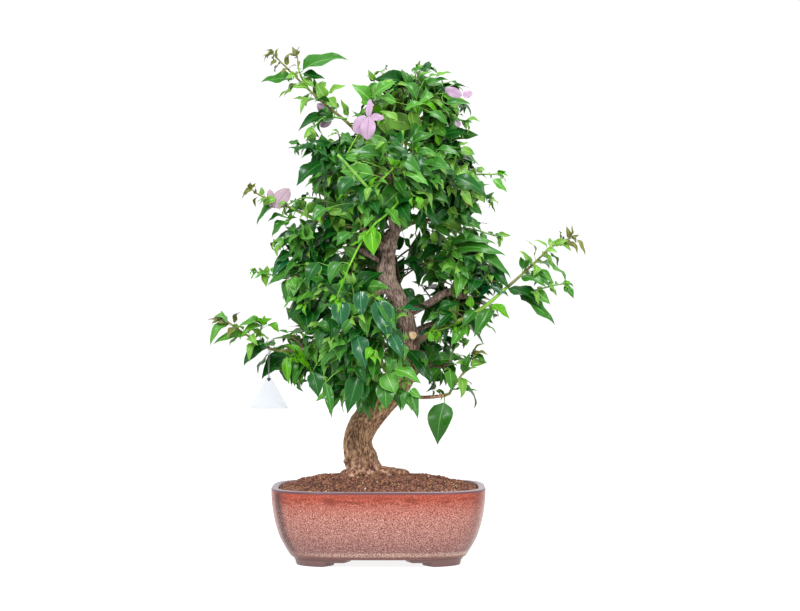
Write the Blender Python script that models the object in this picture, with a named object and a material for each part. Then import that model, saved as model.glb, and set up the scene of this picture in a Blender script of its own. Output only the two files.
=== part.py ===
"""Bougainvillea bonsai: a crooked trunk with boughs and masses of foliage, in a glazed pot.

Metres, +Z up. The origin lies on the floor, under the middle of the box round the whole plant.
Tables are in millimetres, because that is how a pot and a limb are measured.
"""
import math

import bmesh
import bpy
import numpy as np
from mathutils import Matrix, Vector

MM = 0.001
GAP = 0.3                      # clearance between neighbouring solids
GOLDEN_TURN = math.radians(137.5)
DOWN = np.array((0.0, 0.0, -1.0))
UP = -DOWN
FRONT = np.array((0.0, -1.0, 0.0))

# ---------------------------------------------------------------- pot and soil
POT_X = -23.5                  # the plant leans over one side of its pot
POT_HALF = (126.0, 101.0)      # outer half sizes at the rim
POT_SQUARENESS = 3.6           # exponent of the superellipse that every level of the pot follows
BODY_FOOT = 9.0                # height of the body's lower edge
FLOOR_TOP = 19.0
POT_SIDES = 40
# height and how far the outside is drawn in from the rim there
BODY_PROFILE = ((9.0, 25.0), (21.5, 17.8), (33.0, 11.0), (51.0, 4.7), (74.0, 0.6), (87.5, 0.0), (89.0, 1.4))
CAVITY_PROFILE = ((19.0, 34.0), (33.0, 21.0), (51.0, 13.5), (74.0, 9.0), (90.0, 8.2))
FOOT_INSET = (26.5, 30.0)      # at the top and the bottom of the feet
FOOT_STEP = 4.6                # height of the step beside each foot
FOOT_SPAN = (63.0, 42.0)       # the feet start this far from the middle, along X and Y
STEP_SPAN = (37.0, 24.0)       # and the steps this far
UNDERSIDE_INSET = 46.0         # inner edge of the ring of feet
DRAIN_RADIUS = 8.0
DRAIN_REACH = 48.0             # distance of each drain hole from the middle
SOIL_EDGE = 87.0
SOIL_TOP = 101.5
SOIL_SEAT = ((-30.0, -2.0), (60.0, 34.0))   # centre and radii of the level top that the trunk sits on
LUMP_HEIGHT = 1.5
LUMP_SPACING = (41.0, 37.0)    # along X and along Y

# ---------------------------------------------------------------- trunk
# x, y, z along the middle of the trunk, and its radius there
TRUNK = ((-40, 0, 99, 20.5), (-43, 0, 117, 19.0), (-49, -1, 140, 16.4), (-42, -1, 160, 16.2),
         (-25, 1, 181, 15.2), (-6, 4, 199, 13.8), (7, 6, 219, 12.8), (12, 6, 245, 11.8),
         (11, 3, 275, 10.6), (4, 0, 300, 9.5), (-10, -3, 326, 9.6), (-15, -4, 348, 10.6),
         (-12, -3, 374, 9.2), (-4, 0, 393, 6.2), (-2, 3, 414, 5.2), (-11, 4, 447, 4.2),
         (-22, 2, 478, 3.3), (-28, 0, 500, 2.7))
TRUNK_STEP = 10.0
FLARE = 6.0                    # extra radius where the trunk meets the soil
FLARE_HEIGHT = 14.0
FLARE_LOBES = 5
# surface roots: where each leaves the foot, where it dives, and its radius at both ends
ROOTS = (((-34, -4, 104), (14, -9, 100), 9.0, 6.5), ((-42, -8, 103), (-58, -28, 99), 9.5, 6.0),
         ((-44, 6, 103), (-70, 14, 99), 9.0, 5.5), ((-36, 8, 103), (-20, 28, 99), 9.0, 5.5))
STUB = ((12, 2, 266), (17, -15, 267), 5.6, 4.8)    # a limb sawn off long ago

# ---------------------------------------------------------------- limbs
# name: parent, points along its middle, radius where it leaves its parent and at its tip
LIMBS = {
    "bough_low_right": ("trunk", ((-8, 3, 199), (22, -9, 194), (38, -12, 194), (55, -14, 196)), 3.0, 2.0),
    "bough_low_front": ("trunk", ((2, 5, 210), (-10, -20, 211), (-18, -32, 212)), 3.2, 2.4),
    "bough_low_side": ("trunk", ((9, 6, 226), (25, 8, 228), (35, 8, 228)), 3.0, 2.2),
    "bough_back_low": ("trunk", ((10, 6, 229), (4, 32, 240), (-2, 46, 246)), 3.4, 2.4),
    "bough_left_shoot": ("trunk", ((11, 6, 239), (-16, -13, 232), (-69, -24, 251), (-129, -26, 249)), 3.4, 2.0),
    "bough_low_left": ("trunk", ((12, 6, 248), (-25, 20, 243), (-60, 14, 238)), 3.4, 2.4),
    "bough_front": ("trunk", ((12, 5, 256), (-4, -24, 264), (-18, -42, 270)), 3.4, 2.4),
    "bough_right_shoot": ("trunk", ((12, 5, 252), (37, -16, 268), (92, -34, 295), (128, -34, 324)), 3.2, 1.9),
    "bough_right_low": ("trunk", ((12, 4, 268), (28, 9, 276), (38, 10, 280)), 3.4, 2.6),
    "bough_right": ("trunk", ((7, 1, 290), (35, -5, 304), (57, -8, 318), (74, -9, 313)), 5.0, 4.0),
    "bough_back": ("trunk", ((5, 0, 300), (6, 34, 312), (2, 48, 322)), 3.8, 2.6),
    "bough_left_low": ("trunk", ((-8, -2, 322), (-36, -6, 314), (-52, -8, 311)), 3.8, 2.6),
    "bough_left": ("trunk", ((-15, -4, 350), (-42, -2, 366), (-56, -2, 374)), 3.8, 2.6),
    "bough_sprig": ("trunk", ((-13, -4, 368), (-42, -26, 392), (-81, -34, 397), (-126, -34, 416)), 3.0, 1.6),
    "bough_right_high": ("trunk", ((-6, -1, 388), (14, 8, 399), (27, 10, 403)), 3.2, 2.4),
    "bough_front_high": ("trunk", ((-6, -1, 386), (-9, -32, 404), (-10, -50, 416)), 3.4, 2.4),
    "bough_back_high": ("trunk", ((-3, 2, 402), (0, 34, 426), (0, 50, 440)), 3.4, 2.4),
    "bough_upper_left": ("trunk", ((-2, 3, 414), (-30, -8, 434), (-44, -13, 447)), 3.2, 2.4),
    "bough_upper_right": ("trunk", ((-5, 3, 428), (18, 3, 448), (29, 3, 457)), 3.0, 2.2),
    "bough_leader": ("trunk", ((-14, 4, 456), (-36, -6, 490), (-55, -13, 513)), 2.8, 2.0),
}

# ---------------------------------------------------------------- foliage
# Bushy masses. name: limb it grows from, centre and radii of its space, twigs, leaves on a twig
BUSHY = {
    "foliage_top": ("trunk", (8, 0, 536), (80, 62, 54), 9, 4),
    "foliage_upper_left": ("bough_upper_left", (-66, -22, 472), (54, 56, 52), 7, 4),
    "foliage_upper_right": ("bough_upper_right", (54, 2, 464), (56, 60, 52), 7, 4),
    "foliage_front_high": ("bough_front_high", (-8, -78, 446), (62, 54, 54), 7, 4),
    "foliage_back_high": ("bough_back_high", (0, 76, 468), (84, 52, 66), 8, 3),
    "foliage_left": ("bough_left", (-84, -4, 400), (68, 62, 50), 8, 4),
    "foliage_left_low": ("bough_left_low", (-90, -10, 326), (64, 62, 52), 7, 4),
    "foliage_right_high": ("bough_right_high", (58, 8, 402), (50, 54, 40), 6, 4),
    "foliage_right": ("bough_right", (84, -6, 344), (52, 54, 38), 7, 4),
    "foliage_right_low": ("bough_right_low", (60, 10, 298), (56, 54, 42), 7, 4),
    "foliage_front": ("bough_front", (-42, -77, 274), (54, 54, 66), 7, 4),
    "foliage_low_left": ("bough_low_left", (-102, 8, 246), (56, 54, 42), 7, 4),
    "foliage_low_front": ("bough_low_front", (-36, -44, 210), (50, 54, 42), 6, 4),
    "foliage_low_right": ("bough_low_side", (58, 4, 232), (42, 48, 38), 6, 4),
    "foliage_back": ("bough_back", (-2, 76, 352), (86, 52, 62), 8, 3),
    "foliage_back_low": ("bough_back_low", (-12, 76, 252), (78, 52, 48), 7, 3),
}
# Long single shoots with leaves straight on the stem.
# name: limb, further points of the stem, leaves, how far leaves may lie from the stem
SHOOTS = {
    "shoot_leader": ("bough_leader", ((-89, -17, 541), (-115, -20, 565), (-146, -22, 596)), 12, 62),
    "shoot_left": ("bough_left_shoot", ((-150, -27, 251), (-182, -28, 270), (-204, -28, 286)), 10, 50),
    "shoot_right": ("bough_right_shoot", ((155, -33, 348), (180, -32, 371), (201, -32, 381)), 12, 60),
    "shoot_low_right": ("bough_low_right", ((64, -15, 206), (80, -15, 228), (87, -15, 244)), 7, 60),
    "shoot_sprig": ("bough_sprig", ((-140, -34, 423), (-160, -34, 430), (-170, -34, 436)), 6, 40),
}
# Leaves that shape the outline by themselves. mass: (root on its stem, tip, width as a share of the length)
MARKED_LEAVES = {
    "shoot_leader": (((-113, -20, 563), (-58, -21, 590), 0.27), ((-128, -21, 578), (-118, -22, 603), 0.45),
                     ((-95, -18, 546), (-61, -19, 558), 0.4), ((-80, -16, 533), (-117, -18, 508), 0.36)),
    "shoot_right": (((138, -34, 333), (182, -38, 279), 0.26), ((168, -33, 360), (204, -34, 312), 0.22)),
    "shoot_left": (((-165, -28, 260), (-152, -29, 236), 0.5), ((-196, -28, 281), (-221, -29, 256), 0.3)),
    "shoot_low_right": (((68, -15, 211), (56, -24, 137), 0.42), ((78, -15, 226), (104, -16, 217), 0.5)),
}
LEAF_LENGTH = 56.0             # each leaf of the solids stands for two of the plant's
LEAF_WIDTH = 0.62              # of its length
LEAF_WAIST = 0.40              # the widest place, as a share of the length from the root
LEAF_THICKNESS = 1.2           # at the root, whose edge lies inside the twig
STEM_TIP_RADIUS = 1.7
TWIG_RADII = (1.7, 1.4)
TWIG_SHARES = (0.72, 0.6, 0.48, 0.36, 0.24)   # tried in turn: how far out in its space a twig ends
SHORTEST_TWIG = 10.0
LEAF_SPACING = 10.0            # between the leaves of a twig, from its tip back
LEAF_SPREAD = 1.0
TIP_SPREAD = 0.3
LEAF_DROOP = 0.6
TIP_LEAF = 24.0                # length of the last leaf on a shoot
CROWN_MIDDLE = np.array((0.0, 0.0, 330.0))
CROWN_DEPTH = 264.0            # no leaf reaches further to the front or back
FRONT_ENDS = 30.0              # leaves nearer than this face the front of the plant, the rest its back
LEAF_SLACK = 1.15              # tips may reach this far past the ellipsoid's edge
LIMB_CLEARANCE = 1.0
BLADE_ROOM = 2.0               # between the ribs of two leaves, and between a leaf and its own twigs
RIB_START = 6.5                # a leaf is free of its own twig this far from its root
LEAF_TRIES = 9
SEED = 21

# ---------------------------------------------------------------- swing tag
TAG_TOP = (-152, -27, 222)
TAG_SIZE = (47, 41, 0.9)       # width, height, thickness
TAG_EYELET = 7.0               # below the card's top
TAG_THREAD = 26.9              # above the card's top, to just under the shoot
THREAD_RADIUS = 0.5


# ================================================================ general tools
def clear_scene():
    """Removes whatever the file holds."""
    for thing in list(bpy.data.objects):
        bpy.data.objects.remove(thing)


def material(name, colour, roughness, metallic=0.0):
    """A Principled BSDF of one colour, given as linear red, green and blue."""
    made = bpy.data.materials.new(name)
    made.use_nodes = True
    shader = made.node_tree.nodes["Principled BSDF"]
    shader.inputs["Base Color"].default_value = (*colour, 1.0)
    shader.inputs["Roughness"].default_value = roughness
    shader.inputs["Metallic"].default_value = metallic
    return made


def new_object(name, mesh, collection, look=None):
    """Links a mesh as an object of that name, with one material."""
    thing = bpy.data.objects.new(name, mesh)
    collection.objects.link(thing)
    if look:
        mesh.materials.clear()
        mesh.materials.append(look)
    return thing


def mesh_from(name, fill):
    """A mesh filled by fill(bm)."""
    bm = bmesh.new()
    fill(bm)
    mesh = bpy.data.meshes.new(name)
    bm.to_mesh(mesh)
    bm.free()
    return mesh


def evaluated_mesh(thing):
    """The mesh of an object with its modifiers, as new data."""
    bpy.context.view_layer.update()
    seen = thing.evaluated_get(bpy.context.evaluated_depsgraph_get())
    return bpy.data.meshes.new_from_object(seen)


def is_closed(mesh):
    """True if every edge of a mesh lies between exactly two faces."""
    bm = bmesh.new()
    bm.from_mesh(mesh)
    closed = all(edge.is_manifold for edge in bm.edges)
    bm.free()
    return closed


def combine(thing, operands, operation):
    """Applies one Boolean of thing with all the operands, which are then removed."""
    group = bpy.data.collections.new("operands")
    bpy.context.scene.collection.children.link(group)
    for operand in operands:
        group.objects.link(operand)
    cut = thing.modifiers.new(operation.lower(), "BOOLEAN")
    cut.operand_type = "COLLECTION"
    cut.collection = group
    cut.operation = operation
    for solver in ("EXACT", "MANIFOLD"):
        cut.solver = solver
        mesh = evaluated_mesh(thing)
        if is_closed(mesh):
            break
    thing.modifiers.clear()
    thing.data = mesh
    for operand in list(operands):
        bpy.data.objects.remove(operand)
    bpy.data.collections.remove(group)
    return thing


def keep_main_body(thing):
    """Keeps the largest closed body of a mesh, so sealed hollows are filled and loose scraps dropped."""
    bm = bmesh.new()
    bm.from_mesh(thing.data)
    unseen = set(bm.faces)
    bodies = []
    while unseen:
        group, edge_of = [], [unseen.pop()]
        while edge_of:
            face = edge_of.pop()
            group.append(face)
            for edge in face.edges:
                for other in edge.link_faces:
                    if other in unseen:
                        unseen.remove(other)
                        edge_of.append(other)
        bodies.append(group)
    bodies.sort(key=lambda faces: sum(face.calc_area() for face in faces))
    for group in bodies[:-1]:
        bmesh.ops.delete(bm, geom=group, context="FACES")
    bmesh.ops.triangulate(bm, faces=bm.faces[:])
    bm.to_mesh(thing.data)
    bm.free()


def unit(vector):
    """The vector at length one."""
    return vector / max(float(np.linalg.norm(vector)), 1e-9)


# ================================================================ paths and tubes
def smooth_path(points, step):
    """Points about a step apart on the Catmull-Rom curve through the given rows of numbers."""
    rows = np.array(points, float)
    ends = np.vstack((2 * rows[0] - rows[1], rows, 2 * rows[-1] - rows[-2]))
    made = []
    for a, b, c, d in zip(ends, ends[1:], ends[2:], ends[3:]):
        count = max(1, round(float(np.linalg.norm((c - b)[:3])) / step))
        for t in np.arange(count) / count:
            made.append(0.5 * (2 * b + (c - a) * t + (2 * a - 5 * b + 4 * c - d) * t ** 2
                               + (3 * b - a - 3 * c + d) * t ** 3))
    made.append(rows[-1])
    return np.array(made)


def limb_rows(points, first_radius, last_radius, step=17.0):
    """Path of a tapering limb: x, y, z and radius in each row."""
    path = smooth_path(points, step)
    along = np.concatenate(([0.0], np.cumsum(np.linalg.norm(np.diff(path, axis=0), axis=1))))
    radii = first_radius + (last_radius - first_radius) * along / along[-1]
    return np.column_stack((path, radii))


def tube(name, rows, collection, resolution=2, grow=0.0):
    """A closed tube through rows of x, y, z and radius, from a bevelled curve, as a welded mesh."""
    curve = bpy.data.curves.new(name, "CURVE")
    curve.dimensions = "3D"
    curve.bevel_depth = MM
    curve.bevel_resolution = resolution
    curve.use_fill_caps = True
    spline = curve.splines.new("POLY")
    spline.points.add(len(rows) - 1)
    for point, (x, y, z, radius) in zip(spline.points, rows):
        point.co = (x * MM, y * MM, z * MM, 1.0)
        point.radius = radius + grow
    drawn = bpy.data.objects.new(name + "_curve", curve)
    collection.objects.link(drawn)
    mesh = evaluated_mesh(drawn)
    bpy.data.objects.remove(drawn)
    bm = bmesh.new()
    bm.from_mesh(mesh)
    bmesh.ops.remove_doubles(bm, verts=bm.verts[:], dist=1e-5)
    bmesh.ops.recalc_face_normals(bm, faces=bm.faces[:])
    bm.to_mesh(mesh)
    bm.free()
    return new_object(name, mesh, collection)


# ================================================================ pot and soil
def superellipse(half_x, half_y, count):
    """Outline |x/a|^n + |y/b|^n = 1, counter-clockwise, as rows of x and y."""
    angle = np.linspace(0.0, 2 * math.pi, count, endpoint=False) + math.pi / count
    power = 2.0 / POT_SQUARENESS
    x = half_x * np.sign(np.cos(angle)) * np.abs(np.cos(angle)) ** power
    y = half_y * np.sign(np.sin(angle)) * np.abs(np.sin(angle)) ** power
    return np.column_stack((x, y))


def pot_level(height, inset, count=POT_SIDES):
    """The pot's outline at a height, drawn in from the rim by an inset."""
    outline = superellipse(POT_HALF[0] - inset, POT_HALF[1] - inset, count)
    return np.column_stack((outline[:, 0] + POT_X, outline[:, 1], np.full(len(outline), height)))


def loft(levels):
    """Fills a bmesh with a closed skin over a stack of outlines, lowest first."""
    def fill(bm):
        rings = [[bm.verts.new(Vector(p) * MM) for p in level] for level in levels]
        for low, high in zip(rings, rings[1:]):
            for i in range(len(low)):
                j = (i + 1) % len(low)
                bm.faces.new((low[i], low[j], high[j], high[i]))
        bm.faces.new(rings[0][::-1])
        bm.faces.new(rings[-1])
        bmesh.ops.triangulate(bm, faces=bm.faces[:])
    return fill


def box(name, low, high, collection):
    """A box between two corners, in millimetres."""
    low, high = Vector(low) * MM, Vector(high) * MM

    def fill(bm):
        bmesh.ops.create_cube(bm, size=1.0)
        bmesh.ops.scale(bm, vec=high - low, verts=bm.verts[:])
        bmesh.ops.translate(bm, vec=(low + high) / 2, verts=bm.verts[:])
    return new_object(name, mesh_from(name, fill), collection)


def drain(name, x, collection):
    """A cutter for one drain hole."""
    def fill(bm):
        bmesh.ops.create_cone(bm, cap_ends=True, segments=20, radius1=DRAIN_RADIUS * MM,
                              radius2=DRAIN_RADIUS * MM, depth=60 * MM)
        bmesh.ops.translate(bm, vec=((POT_X + x) * MM, 0, 0), verts=bm.verts[:])
    return new_object(name, mesh_from(name, fill), collection)


def make_pot(collection, look):
    """A hollow rounded pot on four stepped feet, with two drain holes."""
    outside = [pot_level(0.0, FOOT_INSET[1]), pot_level(BODY_FOOT, FOOT_INSET[0])]
    outside += [pot_level(z, inset) for z, inset in BODY_PROFILE]
    outside[2][:, 2] += 0.05
    pot = new_object("pot", mesh_from("pot", loft(outside)), collection, look)
    cavity = [pot_level(z, inset) for z, inset in CAVITY_PROFILE]
    under = [pot_level(z, UNDERSIDE_INSET, POT_SIDES // 2) for z in (-5.0, BODY_FOOT + 1.0)]
    cutters = [new_object("cavity", mesh_from("cavity", loft(cavity)), collection),
               new_object("underside", mesh_from("underside", loft(under)), collection)]
    far = 200.0
    for span, top in ((FOOT_SPAN, FOOT_STEP), (STEP_SPAN, BODY_FOOT)):
        cutters.append(box("between_x", (POT_X - span[0], -far, -5), (POT_X + span[0], far, top), collection))
        cutters.append(box("between_y", (-far, -span[1], -5), (far, span[1], top), collection))
    cutters += [drain("drain", side * DRAIN_REACH, collection) for side in (-1, 1)]
    combine(pot, cutters, "DIFFERENCE")
    keep_main_body(pot)
    return pot


def make_soil(collection, look):
    """The soil that fills the pot and rises to the trunk's foot, in low lumps between the foot and the rim."""
    (seat_x, seat_y), (seat_a, seat_b) = SOIL_SEAT
    sides = [pot_level(max(z, FLOOR_TOP + GAP), inset + GAP) for z, inset in CAVITY_PROFILE[:4]]
    rim = pot_level(SOIL_EDGE, CAVITY_PROFILE[3][1] + GAP)
    turn = np.arctan2((rim[:, 1] - seat_y) / seat_b, (rim[:, 0] - seat_x) / seat_a)
    seat = np.column_stack((seat_x + seat_a * np.cos(turn), seat_y + seat_b * np.sin(turn),
                            np.full(len(rim), SOIL_TOP)))
    levels = sides + [rim]
    for share in (0.88, 0.74, 0.6, 0.45, 0.3, 0.15, 0.0):
        ring = seat + (rim - seat) * share
        lumps = (np.sin(2 * math.pi * ring[:, 0] / LUMP_SPACING[0])
                 * np.sin(2 * math.pi * ring[:, 1] / LUMP_SPACING[1] + 1.0))
        ring[:, 2] = (SOIL_EDGE + (SOIL_TOP - SOIL_EDGE) * (1.0 - share ** 1.6)
                      + LUMP_HEIGHT * 4.0 * share * (1.0 - share) * lumps)
        levels.append(ring)
    return new_object("soil", mesh_from("soil", loft(levels)), collection, look)


# ================================================================ trunk and limbs
def trunk_rows():
    """The trunk's path, with its radius in the fourth place."""
    return smooth_path(TRUNK, TRUNK_STEP)


def spread_foot(thing):
    """Widens the trunk's foot into lobes: the extra radius fades with height and swings round the axis."""
    foot = Vector(TRUNK[0][:3])
    for vertex in thing.data.vertices:
        at = vertex.co / MM
        share = max(0.0, 1.0 - (at.z - SOIL_TOP) / FLARE_HEIGHT)
        out = Vector((at.x - foot.x, at.y - foot.y, 0.0))
        if share > 0.0 and out.length > 1.0:
            lobe = 0.6 + 0.4 * math.cos(FLARE_LOBES * math.atan2(out.y, out.x) + 0.8)
            vertex.co += out.normalized() * FLARE * min(share, 1.2) ** 2 * lobe * MM


def make_trunk(collection, look):
    """The trunk from a flat cut at the soil to its tip, with surface roots and a sawn stub."""
    trunk = tube("trunk", trunk_rows(), collection, resolution=3)
    spread_foot(trunk)
    knobs = []
    for start, end, first, last in ROOTS + (STUB,):
        middle = (Vector(start) + Vector(end)) / 2 + Vector((0, 0, 2.0))
        rows = limb_rows((start, middle, end), first, last, step=8.0)
        knobs.append(tube("knob", rows, collection, resolution=1))
    combine(trunk, knobs, "UNION")
    far = 200.0
    combine(trunk, [box("ground", (-far, -far, 0), (far, far, SOIL_TOP + GAP), collection)], "DIFFERENCE")
    keep_main_body(trunk)
    trunk.data.materials.clear()
    trunk.data.materials.append(look)
    return trunk


def make_limbs(collection, look):
    """Each bough as one tapering limb, cut clear of the trunk that carries it."""
    rows_of = {"trunk": trunk_rows()}
    for name, (parent, points, first, last) in LIMBS.items():
        rows_of[name] = limb_rows(points, first, last)
        limb = tube(name, rows_of[name], collection, resolution=1)
        mould = tube("mould", rows_of[parent], collection, resolution=3, grow=GAP)
        combine(limb, [mould], "DIFFERENCE")
        keep_main_body(limb)
        limb.data.materials.clear()
        limb.data.materials.append(look)
    return rows_of


# ================================================================ the rule that foliage grows by
class Obstacles:
    """Limbs, stems and leaf ribs as tapered segments that leaves keep clear of."""

    def __init__(self):
        self.start = np.zeros((0, 3))
        self.end = np.zeros((0, 3))
        self.radius = np.zeros(0)
        self.owner = np.zeros(0, dtype="U40")

    def add(self, rows, owner):
        """Adds a path of x, y, z and radius rows."""
        rows = np.array(rows, float)
        self.start = np.vstack((self.start, rows[:-1, :3]))
        self.end = np.vstack((self.end, rows[1:, :3]))
        self.radius = np.concatenate((self.radius, np.maximum(rows[:-1, 3], rows[1:, 3])))
        self.owner = np.concatenate((self.owner, np.full(len(rows) - 1, owner, dtype="U40")))

    def clear(self, a, b, room, owner=""):
        """True if the segment a-b has that room to all segments but its owner's."""
        others = self.owner != owner
        gaps = segment_distances(a, b, self.start[others], self.end[others])
        return bool(np.all(gaps > self.radius[others] + room))


def segment_distances(a, b, starts, ends, samples=9):
    """Least distance from points spread over the segment a-b to each of many segments."""
    share = np.linspace(0.0, 1.0, samples)[:, None, None]
    points = a + (b - a) * share
    along = ends - starts
    length2 = np.maximum(np.einsum("ij,ij->i", along, along), 1e-9)
    t = np.clip(np.einsum("kij,ij->ki", points - starts, along) / length2, 0.0, 1.0)
    nearest = starts + along * t[:, :, None]
    return np.linalg.norm(points - nearest, axis=2).min(axis=0)


class Space:
    """The room one mass keeps to: an ellipsoid, cut by flat borders half-way to its neighbours."""

    def __init__(self, name, centre, radii):
        self.name = name
        self.centre = np.array(centre, float)
        self.radii = np.array(radii, float)
        self.size2 = float(np.mean(self.radii)) ** 2
        self.borders = []

    def set_neighbours(self, spaces):
        """Borders are the planes where the power distances of two masses are equal."""
        for other in spaces:
            if other is not self:
                way = other.centre - self.centre
                level = (other.centre @ other.centre - self.centre @ self.centre
                         - other.size2 + self.size2) / 2
                length = float(np.linalg.norm(way))
                self.borders.append((way / length, level / length - GAP))

    def holds(self, point, slack=1.0):
        """True if the point lies in the ellipsoid and on the near side of every border."""
        inside = float(np.sum(((point - self.centre) / self.radii) ** 2)) <= slack ** 2
        inside = inside and abs(point[1]) <= CROWN_DEPTH / 2
        return inside and all(float(normal @ point) <= level for normal, level in self.borders)


def frame_of(direction):
    """Two unit vectors square to a direction."""
    side = unit(np.cross(direction, UP if abs(direction[2]) < 0.9 else np.array((1.0, 0.0, 0.0))))
    return side, np.cross(side, direction)


def leaf_corners(root, direction, face, length, width=LEAF_WIDTH):
    """The leaf's root, tip, left and right points, and the way its blade faces."""
    side = unit(np.cross(direction, face))
    waist = root + direction * length * LEAF_WAIST
    half = side * length * width / 2
    return root, root + direction * length, waist + half, waist - half, np.cross(side, direction)


def leaf_solid(name, corners, collection):
    """A leaf as a wedge: an upright edge at the root, from which two sloping faces run out on each side."""
    root, tip, left, right, face = corners
    rise = face * LEAF_THICKNESS / 2

    def fill(bm):
        places = (root + rise, root - rise, tip, left, right)
        over, under, end, one, other = (bm.verts.new(Vector(p) * MM) for p in places)
        bmesh.ops.convex_hull(bm, input=(over, under, end, one, other))
        bmesh.ops.recalc_face_normals(bm, faces=bm.faces[:])
    return new_object(name, mesh_from(name, fill), collection)


def twig_solid(name, start, end, radii, collection):
    """A three-sided tapering twig."""
    start, end = Vector(start) * MM, Vector(end) * MM
    way = end - start

    def fill(bm):
        bmesh.ops.create_cone(bm, cap_ends=True, segments=3, radius1=radii[0] * MM,
                              radius2=radii[1] * MM, depth=way.length)
        turn = way.to_track_quat("Z", "Y").to_matrix().to_4x4()
        bmesh.ops.transform(bm, matrix=Matrix.Translation((start + end) / 2) @ turn, verts=bm.verts[:])
    return new_object(name, mesh_from(name, fill), collection)


def leaf_ribs(corners):
    """The midrib, from clear of the twig to the tip, the line across the waist, and both edges."""
    root, tip, left, right = corners[:4]
    start = root + unit(tip - root) * RIB_START
    return (start, tip), (left, right), (left, tip), (right, tip)


def leaf_fits(corners, owner, space, limbs, blades):
    """True if a leaf keeps to its space, clear of the limbs and of the leaves before it."""
    if not all(space.holds(corner, LEAF_SLACK) for corner in corners[1:4]):
        return False
    root, tip, left, right = corners[:4]
    ribs = leaf_ribs(corners)
    return (all(limbs.clear(a, b, LIMB_CLEARANCE + LEAF_THICKNESS, owner)
                for a, b in ribs + ((root, tip), (root, left), (root, right)))
            and all(blades.clear(a, b, BLADE_ROOM) for a, b in ribs))


def add_blade(blades, corners):
    """Remembers the ribs of a placed leaf, so that the next ones don't cross it."""
    for a, b in leaf_ribs(corners)[:2]:
        blades.add(((*a, 0.0), (*b, 0.0)), "leaf")


def leaf_along(origin, direction, turn, rng, spread, droop):
    """Direction and face of a leaf: it leaves its twig at a turn round it, hangs a little and faces the nearer side."""
    side, other = frame_of(direction)
    out = side * math.cos(turn) + other * math.sin(turn)
    way = unit(0.55 * direction + spread * out + droop * DOWN + rng.normal(0, 0.12, 3))
    outward = unit(origin - CROWN_MIDDLE)
    facing = np.array((0.5 * outward[0], 1.0 if origin[1] > FRONT_ENDS else -1.0, 0.5))
    return way, unit(facing + rng.normal(0, 0.25, 3))


def marked_leaves(name, stem, blades, collection):
    """The leaves of a mass whose places are given, each rooted on the nearest point of its stem."""
    solids = []
    for root, tip, width in MARKED_LEAVES.get(name, ()):
        away = np.linalg.norm(stem[:, :3] - root, axis=1)
        first, second = np.argsort(away)[:2]
        step = stem[second, :3] - stem[first, :3]
        share = np.clip((np.array(root) - stem[first, :3]) @ step / (step @ step), 0.0, 1.0)
        origin = stem[first, :3] + step * share
        way = np.array(tip, float) - origin
        corners = leaf_corners(origin, unit(way), FRONT, float(np.linalg.norm(way)), width)
        solids.append(leaf_solid("leaf", corners, collection))
        add_blade(blades, corners)
    return solids


def stem_rows(limb_path, points):
    """Rows of a mass's stem, which starts a gap beyond the tip of its limb."""
    tip = limb_path[-1, :3]
    way = unit(tip - limb_path[-2, :3])
    start = tip + way * GAP
    return limb_rows(np.vstack((start, start + way * 4.0, points)), limb_path[-1, 3], STEM_TIP_RADIUS, step=12.0)


def spread_directions(count, phase):
    """Directions spread evenly over a sphere: even steps in height, golden turns round it."""
    i = np.arange(count)
    height = 1.0 - (2.0 * i + 1.0) / count
    turn = i * GOLDEN_TURN + phase
    ring = np.sqrt(1.0 - height ** 2)
    return np.column_stack((ring * np.cos(turn), ring * np.sin(turn), height))


def twig_target(space, direction):
    """The twig's end: as far towards the edge of the space as its borders allow."""
    for share in TWIG_SHARES:
        end = space.centre + space.radii * direction * share
        if space.holds(end):
            return end
    return None


def twig_origin(stem, end):
    """Where on the stem a twig to that end branches off: below the nearest place, so that it leans forward."""
    away = np.linalg.norm(stem[:, :3] - end, axis=1)
    place = max(int(np.argmin(away)) - 1, 1)
    return stem[place, :3]


def grow_bushy(name, stem, space, twigs, leaves, limbs, blades, rng, collection):
    """Twigs run from the stem to ends spread through the space, and bear leaves at golden turns."""
    solids = []
    for number, direction in enumerate(spread_directions(twigs, rng.uniform(0, 2 * math.pi))):
        end = twig_target(space, direction)
        if end is None:
            continue
        start = twig_origin(stem, end)
        out = unit(end - start)
        length = float(np.linalg.norm(end - start))
        if length < SHORTEST_TWIG or not limbs.clear(start + out * 3.0, end, TWIG_RADII[0] + LIMB_CLEARANCE, name):
            continue
        solids.append(twig_solid("twig", start, end, TWIG_RADII, collection))
        blades.add(((*start, TWIG_RADII[0]), (*end, TWIG_RADII[1])), name)
        for k in range(leaves):
            share = 1.0 - k * LEAF_SPACING / length
            if share * length < SHORTEST_TWIG / 2:
                break
            origin = start + out * (length * share - 1.0)
            for attempt in range(LEAF_TRIES):
                angle = (k + attempt * 0.37) * GOLDEN_TURN + number
                spread = LEAF_SPREAD if k else TIP_SPREAD
                way, face = leaf_along(origin, out, angle, rng, spread, LEAF_DROOP)
                size = LEAF_LENGTH * rng.uniform(0.85, 1.15) * (1.0 - 0.05 * attempt)
                corners = leaf_corners(origin, way, face, size)
                if leaf_fits(corners, name, space, limbs, blades):
                    solids.append(leaf_solid("leaf", corners, collection))
                    add_blade(blades, corners)
                    break
    return solids


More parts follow.
